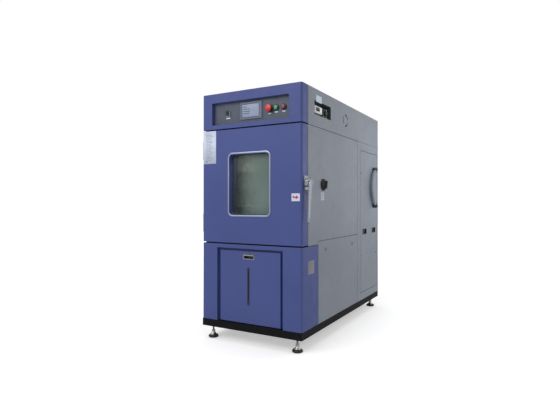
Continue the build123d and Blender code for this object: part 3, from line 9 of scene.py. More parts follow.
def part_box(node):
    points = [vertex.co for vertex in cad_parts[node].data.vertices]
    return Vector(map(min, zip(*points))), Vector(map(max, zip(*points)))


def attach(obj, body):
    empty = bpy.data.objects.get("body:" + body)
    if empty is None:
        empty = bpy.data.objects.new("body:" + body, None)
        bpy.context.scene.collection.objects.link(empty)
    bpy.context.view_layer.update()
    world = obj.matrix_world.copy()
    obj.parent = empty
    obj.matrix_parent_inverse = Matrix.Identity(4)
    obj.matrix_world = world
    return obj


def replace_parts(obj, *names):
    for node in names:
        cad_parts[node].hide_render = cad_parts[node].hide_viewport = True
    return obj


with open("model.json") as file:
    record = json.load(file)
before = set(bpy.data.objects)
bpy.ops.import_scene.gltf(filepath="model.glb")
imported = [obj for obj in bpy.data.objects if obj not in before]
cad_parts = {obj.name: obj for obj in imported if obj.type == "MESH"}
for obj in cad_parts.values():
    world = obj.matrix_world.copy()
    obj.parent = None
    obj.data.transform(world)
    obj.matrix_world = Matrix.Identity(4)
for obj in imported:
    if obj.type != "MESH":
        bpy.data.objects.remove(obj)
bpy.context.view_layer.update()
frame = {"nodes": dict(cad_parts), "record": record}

MM = 0.001


# Places, all worked out from the frame
def low(node):
    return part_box(node)[0]


def high(node):
    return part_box(node)[1]


def middle(node):
    return (low(node) + high(node)) / 2


def wide(node):
    """A node's width in mm, seen from the front."""
    return (high(node).x - low(node).x) / MM


def tall(node):
    """A node's height in mm."""
    return (high(node).z - low(node).z) / MM


right_reach = 340.0
left_x = low("fascia").x
right_x = high("fascia").x
mid_x = right_x - right_reach * MM
front_y = low("fascia").y
rear_y = high("control_box_cover").y
foot_top = low("base_frame").z
panel_y = low("control_panels").y
drawer_y = low("drawer_front").y

FRONT = Matrix(((1, 0, 0, 0), (0, 0, -1, 0), (0, 1, 0, 0), (0, 0, 0, 1)))
RIGHT = Matrix(((0, 0, 1, 0), (1, 0, 0, 0), (0, 1, 0, 0), (0, 0, 0, 1)))
LEFT = Matrix(((0, 0, -1, 0), (-1, 0, 0, 0), (0, 1, 0, 0), (0, 0, 0, 1)))
BACK = Matrix(((-1, 0, 0, 0), (0, 0, 1, 0), (0, 1, 0, 0), (0, 0, 0, 1)))
AS_IS = Matrix.Identity(4)


def facing(node, y, way=None):
    """A place at the middle of a node's front view, at depth y. It faces the front, or else the given way."""
    return Matrix.Translation((middle(node).x, y, middle(node).z)) @ (FRONT if way is None else way)


def raised(place, height):
    """The same place, height mm further out along its normal."""
    return place @ Matrix.Translation((0, 0, height * MM))


def on_front(across, up):
    """A place on the front, in mm right of the openings' middle line and up from the underside."""
    return Matrix.Translation((mid_x + across * MM, front_y, foot_top + up * MM)) @ FRONT


def on_right(back, up, x=None):
    """A place on the right side, in mm behind the blue front and up from the underside."""
    return Matrix.Translation((right_x if x is None else x, front_y + back * MM, foot_top + up * MM)) @ RIGHT


def on_left(back, up):
    """A place on the left side, in the same mm as on_right."""
    return Matrix.Translation((left_x, front_y + back * MM, foot_top + up * MM)) @ LEFT


def on_back(across, up):
    """A place on the back sheet, in the same mm as on_front."""
    return Matrix.Translation((mid_x + across * MM, rear_y, foot_top + up * MM)) @ BACK


# Materials
def linear(code):
    """A web colour as linear light."""
    parts = [int(code[i:i + 2], 16) / 255 for i in (0, 2, 4)]
    return (*(p / 12.92 if p <= 0.04045 else ((p + 0.055) / 1.055) ** 2.4 for p in parts), 1.0)


def add(tree, kind, inputs=None, **settings):
    """A new node, with each input set to a value or linked to a socket."""
    made = tree.nodes.new(kind)
    for key, value in settings.items():
        setattr(made, key, value)
    for key, value in (inputs or {}).items():
        if isinstance(value, bpy.types.NodeSocket):
            tree.links.new(value, made.inputs[key])
        else:
            made.inputs[key].default_value = value
    return made


def spread(tree, value, low_in, high_in, low_out, high_out):
    """value from one range to another, held at its ends."""
    inputs = {0: value, 1: low_in, 2: high_in, 3: low_out, 4: high_out}
    return add(tree, "ShaderNodeMapRange", inputs).outputs[0]


def surface(
    name, color, rough, metal=0.0, uneven=0.06, grain=700.0, depth=0.03, stretch=(1, 1, 1),
    wear=None, worn=0.5, edge=1.0, dirt=0.0, **shader_values,
):
    """A finish with fine relief, uneven tone and gloss, rounded edges and, where wear is a colour, worn ones."""
    material = bpy.data.materials.new(name)
    material.use_nodes = True
    tree = material.node_tree
    shader = tree.nodes["Principled BSDF"]
    where = add(tree, "ShaderNodeTexCoord").outputs["Object"]
    drawn = add(tree, "ShaderNodeMapping", {"Vector": where, "Scale": stretch}).outputs["Vector"]
    broad = add(tree, "ShaderNodeTexNoise", {"Vector": where, "Scale": 3.5, "Detail": 4.0}).outputs["Fac"]
    patchy = add(tree, "ShaderNodeTexNoise", {"Vector": where, "Scale": 22.0, "Detail": 5.0}).outputs["Fac"]
    fine = add(tree, "ShaderNodeTexNoise", {"Vector": drawn, "Scale": grain, "Detail": 3.0}).outputs["Fac"]
    tone = spread(tree, broad, 0.3, 0.7, 1 - uneven, 1 + uneven)
    tinted = add(tree, "ShaderNodeHueSaturation", {"Value": tone, "Color": linear(color)}).outputs["Color"]
    rounded = add(tree, "ShaderNodeBevel", {"Radius": edge * MM}, samples=4).outputs["Normal"]
    flat = add(tree, "ShaderNodeNewGeometry").outputs["Normal"]
    bend = add(tree, "ShaderNodeVectorMath", {0: rounded, 1: flat}, operation="DOT_PRODUCT").outputs["Value"]
    gloss = spread(tree, patchy, 0.35, 0.65, rough - 0.05, rough + 0.06)
    if dirt:
        grime = spread(tree, patchy, 0.52, 0.72, 0.0, dirt)
        soiled = {"Factor": grime, "A": tinted, "B": linear("3A3935")}
        tinted = add(tree, "ShaderNodeMix", soiled, data_type="RGBA").outputs["Result"]
    if wear:
        at_edge = spread(tree, bend, 0.995, 0.93, 0.0, 1.0)
        chips = spread(tree, patchy, 0.5, 0.6, 0.0, worn)
        amount = add(tree, "ShaderNodeMath", {0: at_edge, 1: chips}, operation="MULTIPLY").outputs[0]
        chipped = {"Factor": amount, "A": tinted, "B": linear(wear)}
        tinted = add(tree, "ShaderNodeMix", chipped, data_type="RGBA").outputs["Result"]
    relief = {"Height": fine, "Distance": depth * MM, "Strength": 1.0, "Normal": rounded}
    bump = add(tree, "ShaderNodeBump", relief).outputs["Normal"]
    tree.links.new(tinted, shader.inputs["Base Color"])
    tree.links.new(gloss, shader.inputs["Roughness"])
    tree.links.new(bump, shader.inputs["Normal"])
    shader.inputs["Metallic"].default_value = metal
    for key, value in shader_values.items():
        shader.inputs[key.replace("_", " ")].default_value = value
    return material


def glass_with_painted_reflection(name, color, clear, reflection_full, reflection_faint_x, reflection_full_x):
    """Pane with a painted reflection of the room: a tinted sheen laid on through alpha, faint at one given x and
    full at the other, a little uneven.
    """
    material = surface(name, color, 0.12, uneven=0.1, grain=60, depth=0.002, edge=0.4, Specular_IOR_Level=0.2)
    tree = material.node_tree
    shader = tree.nodes["Principled BSDF"]
    where = add(tree, "ShaderNodeTexCoord").outputs["Object"]
    across = add(tree, "ShaderNodeSeparateXYZ", {"Vector": where}).outputs["X"]
    reflection_patches = add(tree, "ShaderNodeTexNoise", {"Vector": where, "Scale": 7.0, "Detail": 6.0}).outputs["Fac"]
    # Painted reflection: its strength across the pane, from faint to full, made patchy by noise
    reflection_fade = spread(tree, across, reflection_faint_x, reflection_full_x, clear, reflection_full)
    patchy = spread(tree, reflection_patches, 0.3, 0.7, 0.9, 1.1)
    alpha = add(tree, "ShaderNodeMath", {0: reflection_fade, 1: patchy}, operation="MULTIPLY").outputs[0]
    tree.links.new(alpha, shader.inputs["Alpha"])
    return material


# Where the pane's painted reflection of the room runs from faint to full, across the window
reflection_fade_start = low("window_panes").x + 60 * MM
reflection_fade_end = high("window_panes").x - 110 * MM
finish = {
    "blue_paint": surface(
        "blue_powder", "46528A", 0.46, wear="8F96B8", worn=0.35, edge=1.6, uneven=0.05, Specular_IOR_Level=0.25,
    ),
    "grey_paint": surface(
        "grey_powder", "7F8691", 0.42, wear="A5A8AB", worn=0.3, edge=1.4, uneven=0.06, Specular_IOR_Level=0.25,
    ),
    "black_paint": surface(
        "black_powder", "101013", 0.6, wear="3A3B3F", worn=0.4, edge=1.5, dirt=0.1, Specular_IOR_Level=0.1,
    ),
    "panel_grey": surface("slate_panel", "414A5B", 0.5, grain=1100, depth=0.05, edge=0.6, wear="6E7788"),
    "stainless": surface(
        "brushed_stainless", "BFC0BC", 0.3, metal=1.0, grain=90, depth=0.02, stretch=(14, 14, 1), edge=0.8,
    ),
    "foam": surface("faced_foam", "2B2D33", 0.85, grain=260, depth=0.3, uneven=0.15, Specular_IOR_Level=0.2),
    "chrome": surface("polished_chrome", "8E9199", 0.12, metal=1.0, grain=40, depth=0.02, uneven=0.08, edge=0.8),
    "black_rubber": surface("black_rubber", "151515", 0.68, grain=420, depth=0.12, uneven=0.18, dirt=0.2),
    "black_plastic": surface("black_moulding", "1A1B1D", 0.42, grain=900, depth=0.05, uneven=0.1, wear="4A4B4D"),
    "white_plastic": surface("white_moulding", "EEF1F5", 0.4, grain=800, depth=0.03, dirt=0.1, edge=0.6),
    "tank_plastic": surface("tank_moulding", "DADFDF", 0.35, grain=300, depth=0.05, dirt=0.08),
    "screen": surface("screen_bezel", "596478", 0.4, grain=1000, depth=0.04, edge=0.8, wear="8F99AA"),
    "red_plastic": surface("red_moulding", "C4232A", 0.24, grain=200, depth=0.01, edge=0.8, wear="DC6A64"),
    "green_plastic": surface("green_lens", "1E8A5C", 0.2, grain=160, depth=0.02, edge=0.6),
    "dark_red_plastic": surface("dark_red_lens", "6E1424", 0.2, grain=160, depth=0.02, edge=0.6),
    "clear_glass": glass_with_painted_reflection("glass_painted_reflection", "7E918B", 0.04, 0.5, reflection_fade_start, reflection_fade_end),
    "aluminium": surface(
        "mill_aluminium", "B9BBBD", 0.36, metal=1.0, grain=120, depth=0.02, stretch=(1, 1, 8), edge=0.6,
    ),
    "copper": surface("copper_tube", "B9704A", 0.34, metal=1.0, grain=90, depth=0.02, uneven=0.15, dirt=0.3),
    "grey_hose": surface("grey_hose_rubber", "808B97", 0.6, grain=500, depth=0.08, uneven=0.12, dirt=0.15),
    "steel": surface("zinc_plate", "A9ABA6", 0.34, metal=1.0, grain=60, depth=0.02, uneven=0.15, edge=0.6),
}
paper = surface("label_film", "C9D2E6", 0.5, grain=300, depth=0.02, uneven=0.03, edge=0.3)
grey_paper = surface("grey_label_film", "B2B8C2", 0.5, grain=300, depth=0.02, uneven=0.05, edge=0.3)
faded_paper = surface("faded_label_film", "7D7C80", 0.5, grain=300, depth=0.02, uneven=0.06, edge=0.3)
trim_metal = surface(
    "anodised_trim", "8E95AC", 0.34, metal=1.0, grain=120, depth=0.02, stretch=(1, 1, 8), edge=0.6, wear="C5CAD6",
)
dark_case = surface("switch_case", "3A4442", 0.5, grain=900, depth=0.04, uneven=0.15, edge=0.5, wear="626B68")
# Pale satin colour, used for the port cap's painted highlight
painted_highlight_edge = surface("painted_highlight_edge", "8F959F", 0.4, metal=0.6, grain=300, depth=0.02, edge=0.4)
print_grey = surface("printed_grey", "8C93A3", 0.55, grain=400, depth=0.01, edge=0.2)
faint_print = surface("faint_print", "A3ABBE", 0.55, grain=400, depth=0.01, edge=0.2)
screen_print = surface("screen_print", "66728C", 0.4, grain=400, depth=0.01, edge=0.2)
print_red = surface("printed_red", "B5202C", 0.5, grain=400, depth=0.01, edge=0.2)
# Near-black ring colour: painted shadow round the stop button's cap
painted_shadow_ring = surface("ring_painted_shadow", "3E3A36", 0.4, grain=300, depth=0.02, edge=0.4)
dark_gap = surface("shadowed_slot", "08080A", 0.8, grain=300, depth=0.05)
display = surface(
    "lit_display", "76829A", 0.12, grain=50, depth=0.002, uneven=0.1, Emission_Color=linear("76829A"),
    Emission_Strength=0.25,
)
film = surface("wrinkled_film", "7E8495", 0.2, metal=0.3, grain=45, depth=0.9, uneven=0.25, edge=0.3, dirt=0.25)
lamp_glow = surface(
    "lamp_glass", "F4F0DE", 0.3, grain=80, depth=0.02, Emission_Color=linear("F6F4DC"), Emission_Strength=9.0,
)

for row in frame["record"]["subparts"]:
    cad = frame["nodes"][row["node"]]
    cad.data.materials.clear()
    cad.data.materials.append(finish[row["material_slot"]])


# Builders of pieces. Lengths are in mm in the plane of a place, and out of it along its normal
def piece(name, mesh, place, body, slot=None, material=None, smooth=35):
    """Puts a mesh at a place on a body. A mesh without a material gets the given one or its slot's."""
    made = bpy.data.objects.new(name, mesh)
    bpy.context.scene.collection.objects.link(made)
    made.matrix_world = place
    if not mesh.materials:
        mesh.materials.append(material or finish[slot])
        mesh.shade_smooth()
        mesh.set_sharp_from_angle(angle=math.radians(smooth))
    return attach(made, body)


def mesh_of(name, points, faces):
    """A mesh from points in mm, its faces turned outward."""
    made = bpy.data.meshes.new(name)
    made.from_pydata([Vector(p) * MM for p in points], [], faces)
    shape = bmesh.new()
    shape.from_mesh(made)
    bmesh.ops.recalc_face_normals(shape, faces=shape.faces)
    shape.to_mesh(made)
    shape.free()
    return made


def rounded(width, height, radius, steps=5, across=0.0, up=0.0):
    """Outline of a rounded rectangle, counter-clockwise."""
    points = []
    for corner, (sx, sy) in enumerate(((1, -1), (1, 1), (-1, 1), (-1, -1))):
        cx = across + sx * (width / 2 - radius)
        cy = up + sy * (height / 2 - radius)
        for i in range(steps + 1):
            turn = math.radians(90 * (corner - 1) + 90 * i / steps)
            points.append((cx + radius * math.cos(turn), cy + radius * math.sin(turn)))
    return points


def plate_mesh(name, outline, thick, base=0.0, crown=0.0):
    """A flat plate whose upper edge is eased by crown."""
    cx = sum(p[0] for p in outline) / len(outline)
    cy = sum(p[1] for p in outline) / len(outline)
    reach = max(math.hypot(x - cx, y - cy) for x, y in outline)
    rings = [(1.0, base), (1.0, base + thick - crown), (1 - crown / reach, base + thick)]
    points = [(cx + (x - cx) * k, cy + (y - cy) * k, h) for k, h in rings for x, y in outline]
    n = len(outline)
    faces = [
        (r * n + i, r * n + (i + 1) % n, (r + 1) * n + (i + 1) % n, (r + 1) * n + i)
        for r in range(2) for i in range(n)
    ]
    faces += [tuple(reversed(range(n))), tuple(range(2 * n, 3 * n))]
    return mesh_of(name, points, faces)


def lathe_mesh(name, profile, steps=48):
    """Turns a profile of (radius, height) about the place's normal."""
    points = []
    for i in range(steps):
        turn = 2 * math.pi * i / steps
        points += [(r * math.cos(turn), r * math.sin(turn), h) for r, h in profile]
    n = len(profile)
    faces = []
    for i in range(steps):
        j = (i + 1) % steps
        faces += [(i * n + k, j * n + k, j * n + k + 1, i * n + k + 1) for k in range(n - 1)]
    made = mesh_of(name, points, faces)
    shape = bmesh.new()
    shape.from_mesh(made)
    bmesh.ops.remove_doubles(shape, verts=shape.verts, dist=1e-6)
    bmesh.ops.holes_fill(shape, edges=shape.edges, sides=0)
    bmesh.ops.recalc_face_normals(shape, faces=shape.faces)
    shape.to_mesh(made)
    shape.free()
    return made


def frame_mesh(name, outline, section):
    """Sweeps a closed section of (outward, height) round a closed outline."""
    n = len(outline)
    points = []
    for i, (x, y) in enumerate(outline):
        ax, ay = outline[i - 1]
        bx, by = outline[(i + 1) % n]
        before = Vector((x - ax, y - ay)).normalized()
        after = Vector((bx - x, by - y)).normalized()
        along = (before + after).normalized()
        out = Vector((along.y, -along.x)) / max(0.5, along.dot(after))
        points += [(x + out.x * s, y + out.y * s, h) for s, h in section]
    m = len(section)
    faces = [
        (i * m + k, i * m + (k + 1) % m, ((i + 1) % n) * m + (k + 1) % m, ((i + 1) % n) * m + k)
        for i in range(n) for k in range(m)
    ]
    return mesh_of(name, points, faces)


def bead(width, height, steps=8):
    """Half-round section of a bead that stands on a face."""
    turns_up = [math.pi * i / steps for i in range(steps + 1)]
    arc = [(width / 2 * math.cos(turn), height * math.sin(turn)) for turn in turns_up]
    return [*arc, (-width / 2, -0.2), (width / 2, -0.2)]


def tube_mesh(name, line, radius_at, steps=24):
    """Sweeps a circle along a line of points in mm. radius_at gives its radius at each point's number."""
    points = []
    side = Vector((1, 0, 0))
    last = len(line) - 1
    for i, p in enumerate(line):
        along = (Vector(line[min(i + 1, last)]) - Vector(line[max(i - 1, 0)])).normalized()
        side = (side - along * side.dot(along)).normalized()
        up = along.cross(side)
        r = radius_at(i)
        for k in range(steps):
            turn = 2 * math.pi * k / steps
            points.append(Vector(p) + side * r * math.cos(turn) + up * r * math.sin(turn))
    faces = [
        (i * steps + k, i * steps + (k + 1) % steps, (i + 1) * steps + (k + 1) % steps, (i + 1) * steps + k)
        for i in range(last) for k in range(steps)
    ]
    faces += [tuple(reversed(range(steps))), tuple(range(last * steps, (last + 1) * steps))]
    return mesh_of(name, points, faces)


def screw_mesh(name, radius):
    """Domed screw head with a cross recess."""
    rise = radius * 0.55
    dome = [(radius * math.cos(a), rise * math.sin(a)) for a in (i * math.pi / 16 for i in range(8))]
    head = lathe_mesh(name, [(radius, -0.3), *dome, (0.0, rise)], steps=24)
    shape = bmesh.new()
    shape.from_mesh(head)
    arm = radius * 0.62 * MM
    slit = radius * 0.13 * MM
    for vertex in shape.verts:
        x, y, z = vertex.co
        in_cross = (abs(x) < slit and abs(y) < arm) or (abs(y) < slit and abs(x) < arm)
        if in_cross and z > 0:
            vertex.co.z = z * 0.35
    shape.to_mesh(head)
    shape.free()
    return head


def stick(name, outline, place, body, material, thick=0.35):
    """A label or tag stuck on a face."""
    return piece(name, plate_mesh(name, outline, thick, base=-0.05, crown=0.1), place, body, material=material)


def rows_of_print(name, place, body, widths, left, top, pitch, height, material):
    """Plain bars in rows on a label, with no lettering."""
    points = []
    faces = []
    for i, width in enumerate(widths):
        y = top - i * pitch
        k = len(points)
        points += [(left, y, 0), (left + width, y, 0), (left + width, y - height, 0), (left, y - height, 0)]
        faces.append((k, k + 1, k + 2, k + 3))
    made = piece(name, mesh_of(name, points, faces), raised(place, 0.36), body, material=material)
    thicken = made.modifiers.new("ink", "SOLIDIFY")
    thicken.thickness = 0.04 * MM


# Screw heads shared by the pieces below
screw_m3 = screw_mesh("screw_m3", 2.6)
screw_m4 = screw_mesh("screw_m4", 3.6)
screw_m5 = screw_mesh("screw_m5", 4.6)
screw_back = screw_mesh("screw_back", 4.2)

# Control recess in the fascia: screen with its fields
screen_place = facing("touch_screen", low("touch_screen").y)
screen_glass_w = 118.0
screen_glass_h = 76.0
screen_shift = -3.0
glass_outline = rounded(screen_glass_w - 0.6, screen_glass_h - 0.6, 1.5, across=screen_shift)
rim_outline = rounded(screen_glass_w + 1.6, screen_glass_h + 1.6, 2, across=screen_shift)
piece(
    "screen_display", plate_mesh("screen_display", glass_outline, 0.5, base=-1.1, crown=0.1), screen_place,
    "cabinet", slot="screen", material=display,
)
piece(
    "screen_rim", frame_mesh("screen_rim", rim_outline, bead(2.0, 0.6)), screen_place, "cabinet",
    slot="black_plastic",
)
field_widths = [30 + 22 * abs(math.sin(2.3 * i)) for i in range(4)]
rows_of_print(
    "screen_fields", raised(screen_place, -0.93), "cabinet", field_widths, screen_shift - 52, 24, 13, 3.4,
    screen_print,
)

# Port cap with a painted highlight, a pale L along its right and lower edges where its sides catch the light, and
# the tags under the controls
port_place = facing("usb_port", low("usb_port").y)
port_half = wide("usb_port") / 2
edge_in = port_half - 3.6
edge_out = port_half - 1
edge_start = port_half - 3
edge_end = port_half - 4
port_highlight_outline = [
    (edge_in, edge_start), (edge_out, edge_start), (edge_out, -edge_out), (-edge_end, -edge_out),
    (-edge_end, -edge_in), (edge_in, -edge_in),
]
# Pale L plate: painted highlight where the cap's right and lower sides catch the light
piece(
    "port_cap_painted_highlight", plate_mesh("port_cap_painted_highlight", list(reversed(port_highlight_outline)), 0.8), port_place, "cabinet",
    slot="aluminium", material=painted_highlight_edge,
)
piece(
    "port_cap", plate_mesh("port_cap", rounded(21, 22, 3, across=-2, up=3), 2.4, crown=0.9), port_place,
    "cabinet", slot="black_rubber",
)
piece(
    "port_cap_pull", plate_mesh("port_cap_pull", rounded(9, 4, 1.8, across=-2, up=-3), 1.4, base=2.2, crown=0.5),
    port_place, "cabinet", slot="black_rubber",
)

for name, cad_name, drop, tag_w in (
    ("port_tag", "usb_port", 27.0, 30), ("estop_tag", "estop_button", 30.0, 20),
    ("start_tag", "start_button", 25.0, 20), ("stop_tag", "stop_button", 25.0, 20),
):
    spot = facing(cad_name, panel_y) @ Matrix.Translation((0, -drop * MM, 0))
    stick(name, rounded(tag_w, 7, 1), spot, "cabinet", paper, thick=0.6)

# Stop button: mushroom cap with fine ribs round its edge, three turning arrows and a ring behind it, dark with
# painted shadow
estop_place = facing("estop_button", panel_y)
cap_deep = 9.0
cap_ribs = 24
estop_back = (panel_y - low("estop_button").y) / MM - cap_deep
mushroom = [
    (0, estop_back), (12, estop_back), (19.6, estop_back), (20.6, estop_back + 0.6), (21, estop_back + 2),
    (21, estop_back + 3.8), (20.6, estop_back + 5.0), (19.4, estop_back + 6.2), (17, estop_back + 7.2),
    (13, estop_back + 8.1), (8, estop_back + 8.7), (0, estop_back + cap_deep),
]
mushroom_mesh = lathe_mesh("estop_mushroom", mushroom, steps=72)
for vertex in mushroom_mesh.vertices:
    turn = math.atan2(vertex.co.y, vertex.co.x)
    if vertex.co.xy.length > 20.3 * MM:
        vertex.co.xy *= 1 - 0.012 * (0.5 + 0.5 * math.cos(cap_ribs * turn))
estop = piece("estop_mushroom", mushroom_mesh, estop_place, "estop_button", slot="red_plastic")
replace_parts(estop, "estop_button")


def button_stem(name, top):
    """The round stem of a button, from inside the panel up to its cap."""
    return lathe_mesh(name, [(0, -20), (4.9, -20), (4.9, top), (0, top)])


def arrow_radius(k):
    """A thin line whose last two points make the arrow's head."""
    return 0.6 if k < 5 else 1.2 - 0.7 * (k - 5)


piece(
    "estop_stem", button_stem("estop_stem", estop_back + 0.5), estop_place, "estop_button", slot="black_plastic",
)
arrow_r = 13.4
for i in range(3):
    bends = [math.radians(120 * i + 20) + 0.16 * k for k in range(7)]
    arrow_line = [(arrow_r * math.cos(a), arrow_r * math.sin(a), estop_back + 7.6) for a in bends]
    name = f"estop_arrow_{i + 1}"
    piece(name, tube_mesh(name, arrow_line, arrow_radius, 8), estop_place, "estop_button", slot="red_plastic")
# The ring is dark as painted shadow beside the cap
piece(
    "estop_ring", lathe_mesh("estop_ring", [(14.2, 3.0), (24.6, 3.0), (24.2, 3.7), (15, 3.9), (14.2, 3.6)], 64),
    estop_place, "cabinet", material=painted_shadow_ring,
)

# Start and stop buttons: lens, stem and a turned rim on the bezel
for cad_name, slot_name in (("start_button", "green_plastic"), ("stop_button", "dark_red_plastic")):
    spot = facing(cad_name, panel_y)
    reach = (panel_y - low(cad_name).y) / MM
    lens = [
        (0, reach - 9), (12.4, reach - 9), (12.55, reach - 2.6), (11.9, reach - 1.2), (10.2, reach - 0.4),
        (9.3, reach - 0.5), (8.8, reach - 0.9), (6, reach - 0.7), (0, reach - 0.35),
    ]
    cap = piece(cad_name + "_lens", lathe_mesh(cad_name + "_lens", lens), spot, cad_name, slot=slot_name)
    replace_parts(cap, cad_name)
    piece(cad_name + "_stem", button_stem(cad_name + "_stem", reach - 8.8), spot, cad_name, slot="black_plastic")
    rim = [(12.95, 6.4), (13.1, 7.4), (13.9, 8.0), (15.6, 8.0), (16.8, 7.5), (17.3, 6.4), (17.3, 5.4), (15, 6.9)]
    piece(cad_name + "_rim", lathe_mesh(cad_name + "_rim", [*rim, rim[0]]), spot, "cabinet", slot="black_plastic")

# Door: window bead and the pane's seals
window_place = facing("window_trim", high("window_trim").y)
trim_w = 10.0
trim_path = rounded(wide("window_trim") - trim_w, tall("window_trim") - trim_w, 27, steps=10)
trim_section = [
    (-trim_w / 2, 0), (trim_w / 2, 0), (trim_w / 2, 1.6), (4.4, 2.5), (3.0, 3.0), (-1.5, 3.0), (-3.6, 2.7),
    (-4.8, 1.8),
]
trim = piece(
    "window_bead", frame_mesh("window_bead", trim_path, trim_section), window_place, "door", slot="aluminium",
    material=trim_metal,
)
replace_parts(trim, "window_trim")
pane_place = facing("window_trim", low("window_panes").y)
pane_back_place = facing("window_trim", high("window_panes").y, BACK)
pane_w = wide("window_panes")
pane_h = tall("window_panes")
piece(
    "pane_seal", frame_mesh("pane_seal", rounded(pane_w - 19, pane_h - 19, 20, steps=8), bead(5.0, 3.5)), pane_place,
    "door", slot="black_rubber",
)
piece(
    "pane_seal_inner", frame_mesh("pane_seal_inner", rounded(pane_w - 4, pane_h - 4, 18, steps=8), bead(5.0, 2.6)),
    pane_back_place, "door", slot="black_rubber",
)

# Placard wrapped round the door's left edge, and a small sticker with an arrow
placard_w = 102.0
placard_h = 200.0
placard_across = -299.0
placard_place = on_front(placard_across, 1100.0)
corner_r = 13.0
door_edge = (low("door_shell").x - mid_x) / MM - placard_across


def corner_drop(across):
    """How far the door's rounded edge has fallen back at a place across the placard."""
    short = max(0.0, min(corner_r, corner_r - (across - door_edge)))
    return corner_r - math.sqrt(corner_r ** 2 - short ** 2)


placard_columns = 28
placard_left = door_edge + 2.5
placard_points = []
for i in range(placard_columns + 1):
    across = placard_left + (placard_w / 2 - placard_left) * i / placard_columns
    for up in (-placard_h / 2, placard_h / 2):
        placard_points.append((across, up, 0.35 - corner_drop(across)))
placard_faces = [(2 * i, 2 * i + 2, 2 * i + 3, 2 * i + 1) for i in range(placard_columns)]
placard = piece(
    "door_placard", mesh_of("door_placard", placard_points, placard_faces), placard_place, "door", material=paper,
)
placard_body = placard.modifiers.new("film", "SOLIDIFY")
placard_body.thickness = 0.3 * MM
placard_body.offset = 0
line_left = door_edge + corner_r + 14
line_widths = [30.0] + [44 + 10 * math.sin(1.7 * i) for i in range(18)]
rows_of_print(
    "placard_rows", raised(placard_place, 0.2), "door", line_widths, line_left, placard_h / 2 - 12, 9.2, 2.4,
    faint_print,
)
rows_of_print(
    "placard_mark", raised(placard_place, 0.2), "door", [9.0], line_left, -placard_h / 2 + 18, 9, 9, print_grey,
)

sticker_place = on_front(301.0, 790.5)
stick("door_sticker", rounded(52, 43, 2), sticker_place, "door", paper)
arrow = [(-19, -4), (2, -4), (2, -11), (19, 0), (2, 11), (2, 4), (-12, 4), (-12, 9), (-19, 9)]
stick("door_sticker_arrow", arrow, raised(sticker_place, 0.3), "door", print_red, thick=0.1)

# Latch and its wrapped lever
latch_back = (middle("latch_body").y - front_y) / MM
latch_up = (middle("latch_body").z - foot_top) / MM
for i, (back, up) in enumerate(((-30, 31), (28, 31), (-30, -31), (28, -31))):
    piece(
        f"latch_screw_{i + 1}", screw_m4, on_right(latch_back + back, latch_up + up, right_x + 5 * MM), "door",
        slot="chrome",
    )
film_x = high("latch_lever").x - 4.8 * MM
lever_low = low("latch_lever")
lever_tip = Vector((film_x, lever_low.y + 9 * MM, lever_low.z + 9 * MM))
lever_top = Vector((film_x, front_y + 50 * MM, high("latch_lever").z - 44 * MM))
film_r = 6.9
film_flat = 0.38
turns = 60


def wrap_point(i):
    """The film's middle at step i, from under the hub to past the lever's tip."""
    share = i / turns
    spot = lever_top.lerp(lever_tip, share)
    sway = (3.6 * math.sin(share * 8.2) * (1 - share) + 0.7 * math.sin(share * 31)) * MM
    return (spot + Vector((-abs(sway) * 0.2, sway, 0))) / MM


def wrap_radius(i):
    """Puckered, wider where the film bunches up, drawn in at both ends."""
    share = i / turns
    taper = 1.35 - 0.5 * share
    pucker = 0.16 * math.sin(share * 47) + 0.09 * math.sin(share * 101 + 1)
    return film_r * taper * (1 + pucker) * (0.75 if i in (0, turns) else 1.0)


wrap = piece(
    "lever_film", tube_mesh("lever_film", [wrap_point(i) for i in range(turns + 1)], wrap_radius, 18),
    AS_IS, "latch_lever", slot="chrome", material=film, smooth=50,
)
flatten = bmesh.new()
flatten.from_mesh(wrap.data)
for vertex in flatten.verts:
    vertex.co.x = film_x + (vertex.co.x - film_x) * film_flat
flatten.to_mesh(wrap.data)
flatten.free()
crumple = bpy.data.textures.new("crumple", "CLOUDS")
crumple.noise_scale = 12 * MM
crumple.noise_depth = 3
creases = wrap.modifiers.new("creases", "DISPLACE")
creases.texture = crumple
creases.strength = 3.5 * MM
creases.texture_coords = "GLOBAL"

# Cable port, labels and fixings on the right side
port_y_mm = (middle("port_sleeve").y - front_y) / MM
port_z_mm = (middle("port_sleeve").z - foot_top) / MM
label_place = on_right(276.5, 798.5)
stick("port_label", rounded(49, 47, 2), label_place, "cabinet", grey_paper)
rows_of_print("port_label_rows", label_place, "cabinet", [34, 26, 34, 20], -17, 15, 8.5, 3, print_grey)
stick("switch_label", rounded(79, 40, 2), on_right(225.5, 1373), "cabinet", paper)
label_place = on_right(118, 391.5)
stick("wrap_label", rounded(80, 76, 2), label_place, "cabinet", faded_paper)
rows_of_print("wrap_label_rows", label_place, "cabinet", [60, 60, 44, 60, 52], -30, 30, 13, 3, print_grey)
port_face = high("port_sleeve").x
piece(
    "port_flange_bead",
    lathe_mesh("port_flange_bead", [(29.4, 0), (30.4, 1.2), (33, 1.4), (35, 0.6), (35.4, -1.5), (29.4, -1.5)], 64),
    on_right(port_y_mm, port_z_mm, port_face), "cabinet", slot="black_rubber",
)
screw_circle = 32.5
for i in range(4):
    turn = math.radians(45 + 90 * i)
    back = port_y_mm + screw_circle * math.cos(turn)
    up = port_z_mm + screw_circle * math.sin(turn)
    piece(f"port_screw_{i + 1}", screw_m3, on_right(back, up, port_face), "cabinet", slot="steel")

for i, (back, up) in enumerate(((976, 368), (976, 977), (1314, 365), (1314, 977))):
    piece(f"rear_panel_screw_{i + 1}", screw_m5, on_right(back, up), "cabinet", slot="black_plastic")
    piece(f"rear_panel_screw_left_{i + 1}", screw_m5, on_left(back, up), "cabinet", slot="black_plastic")

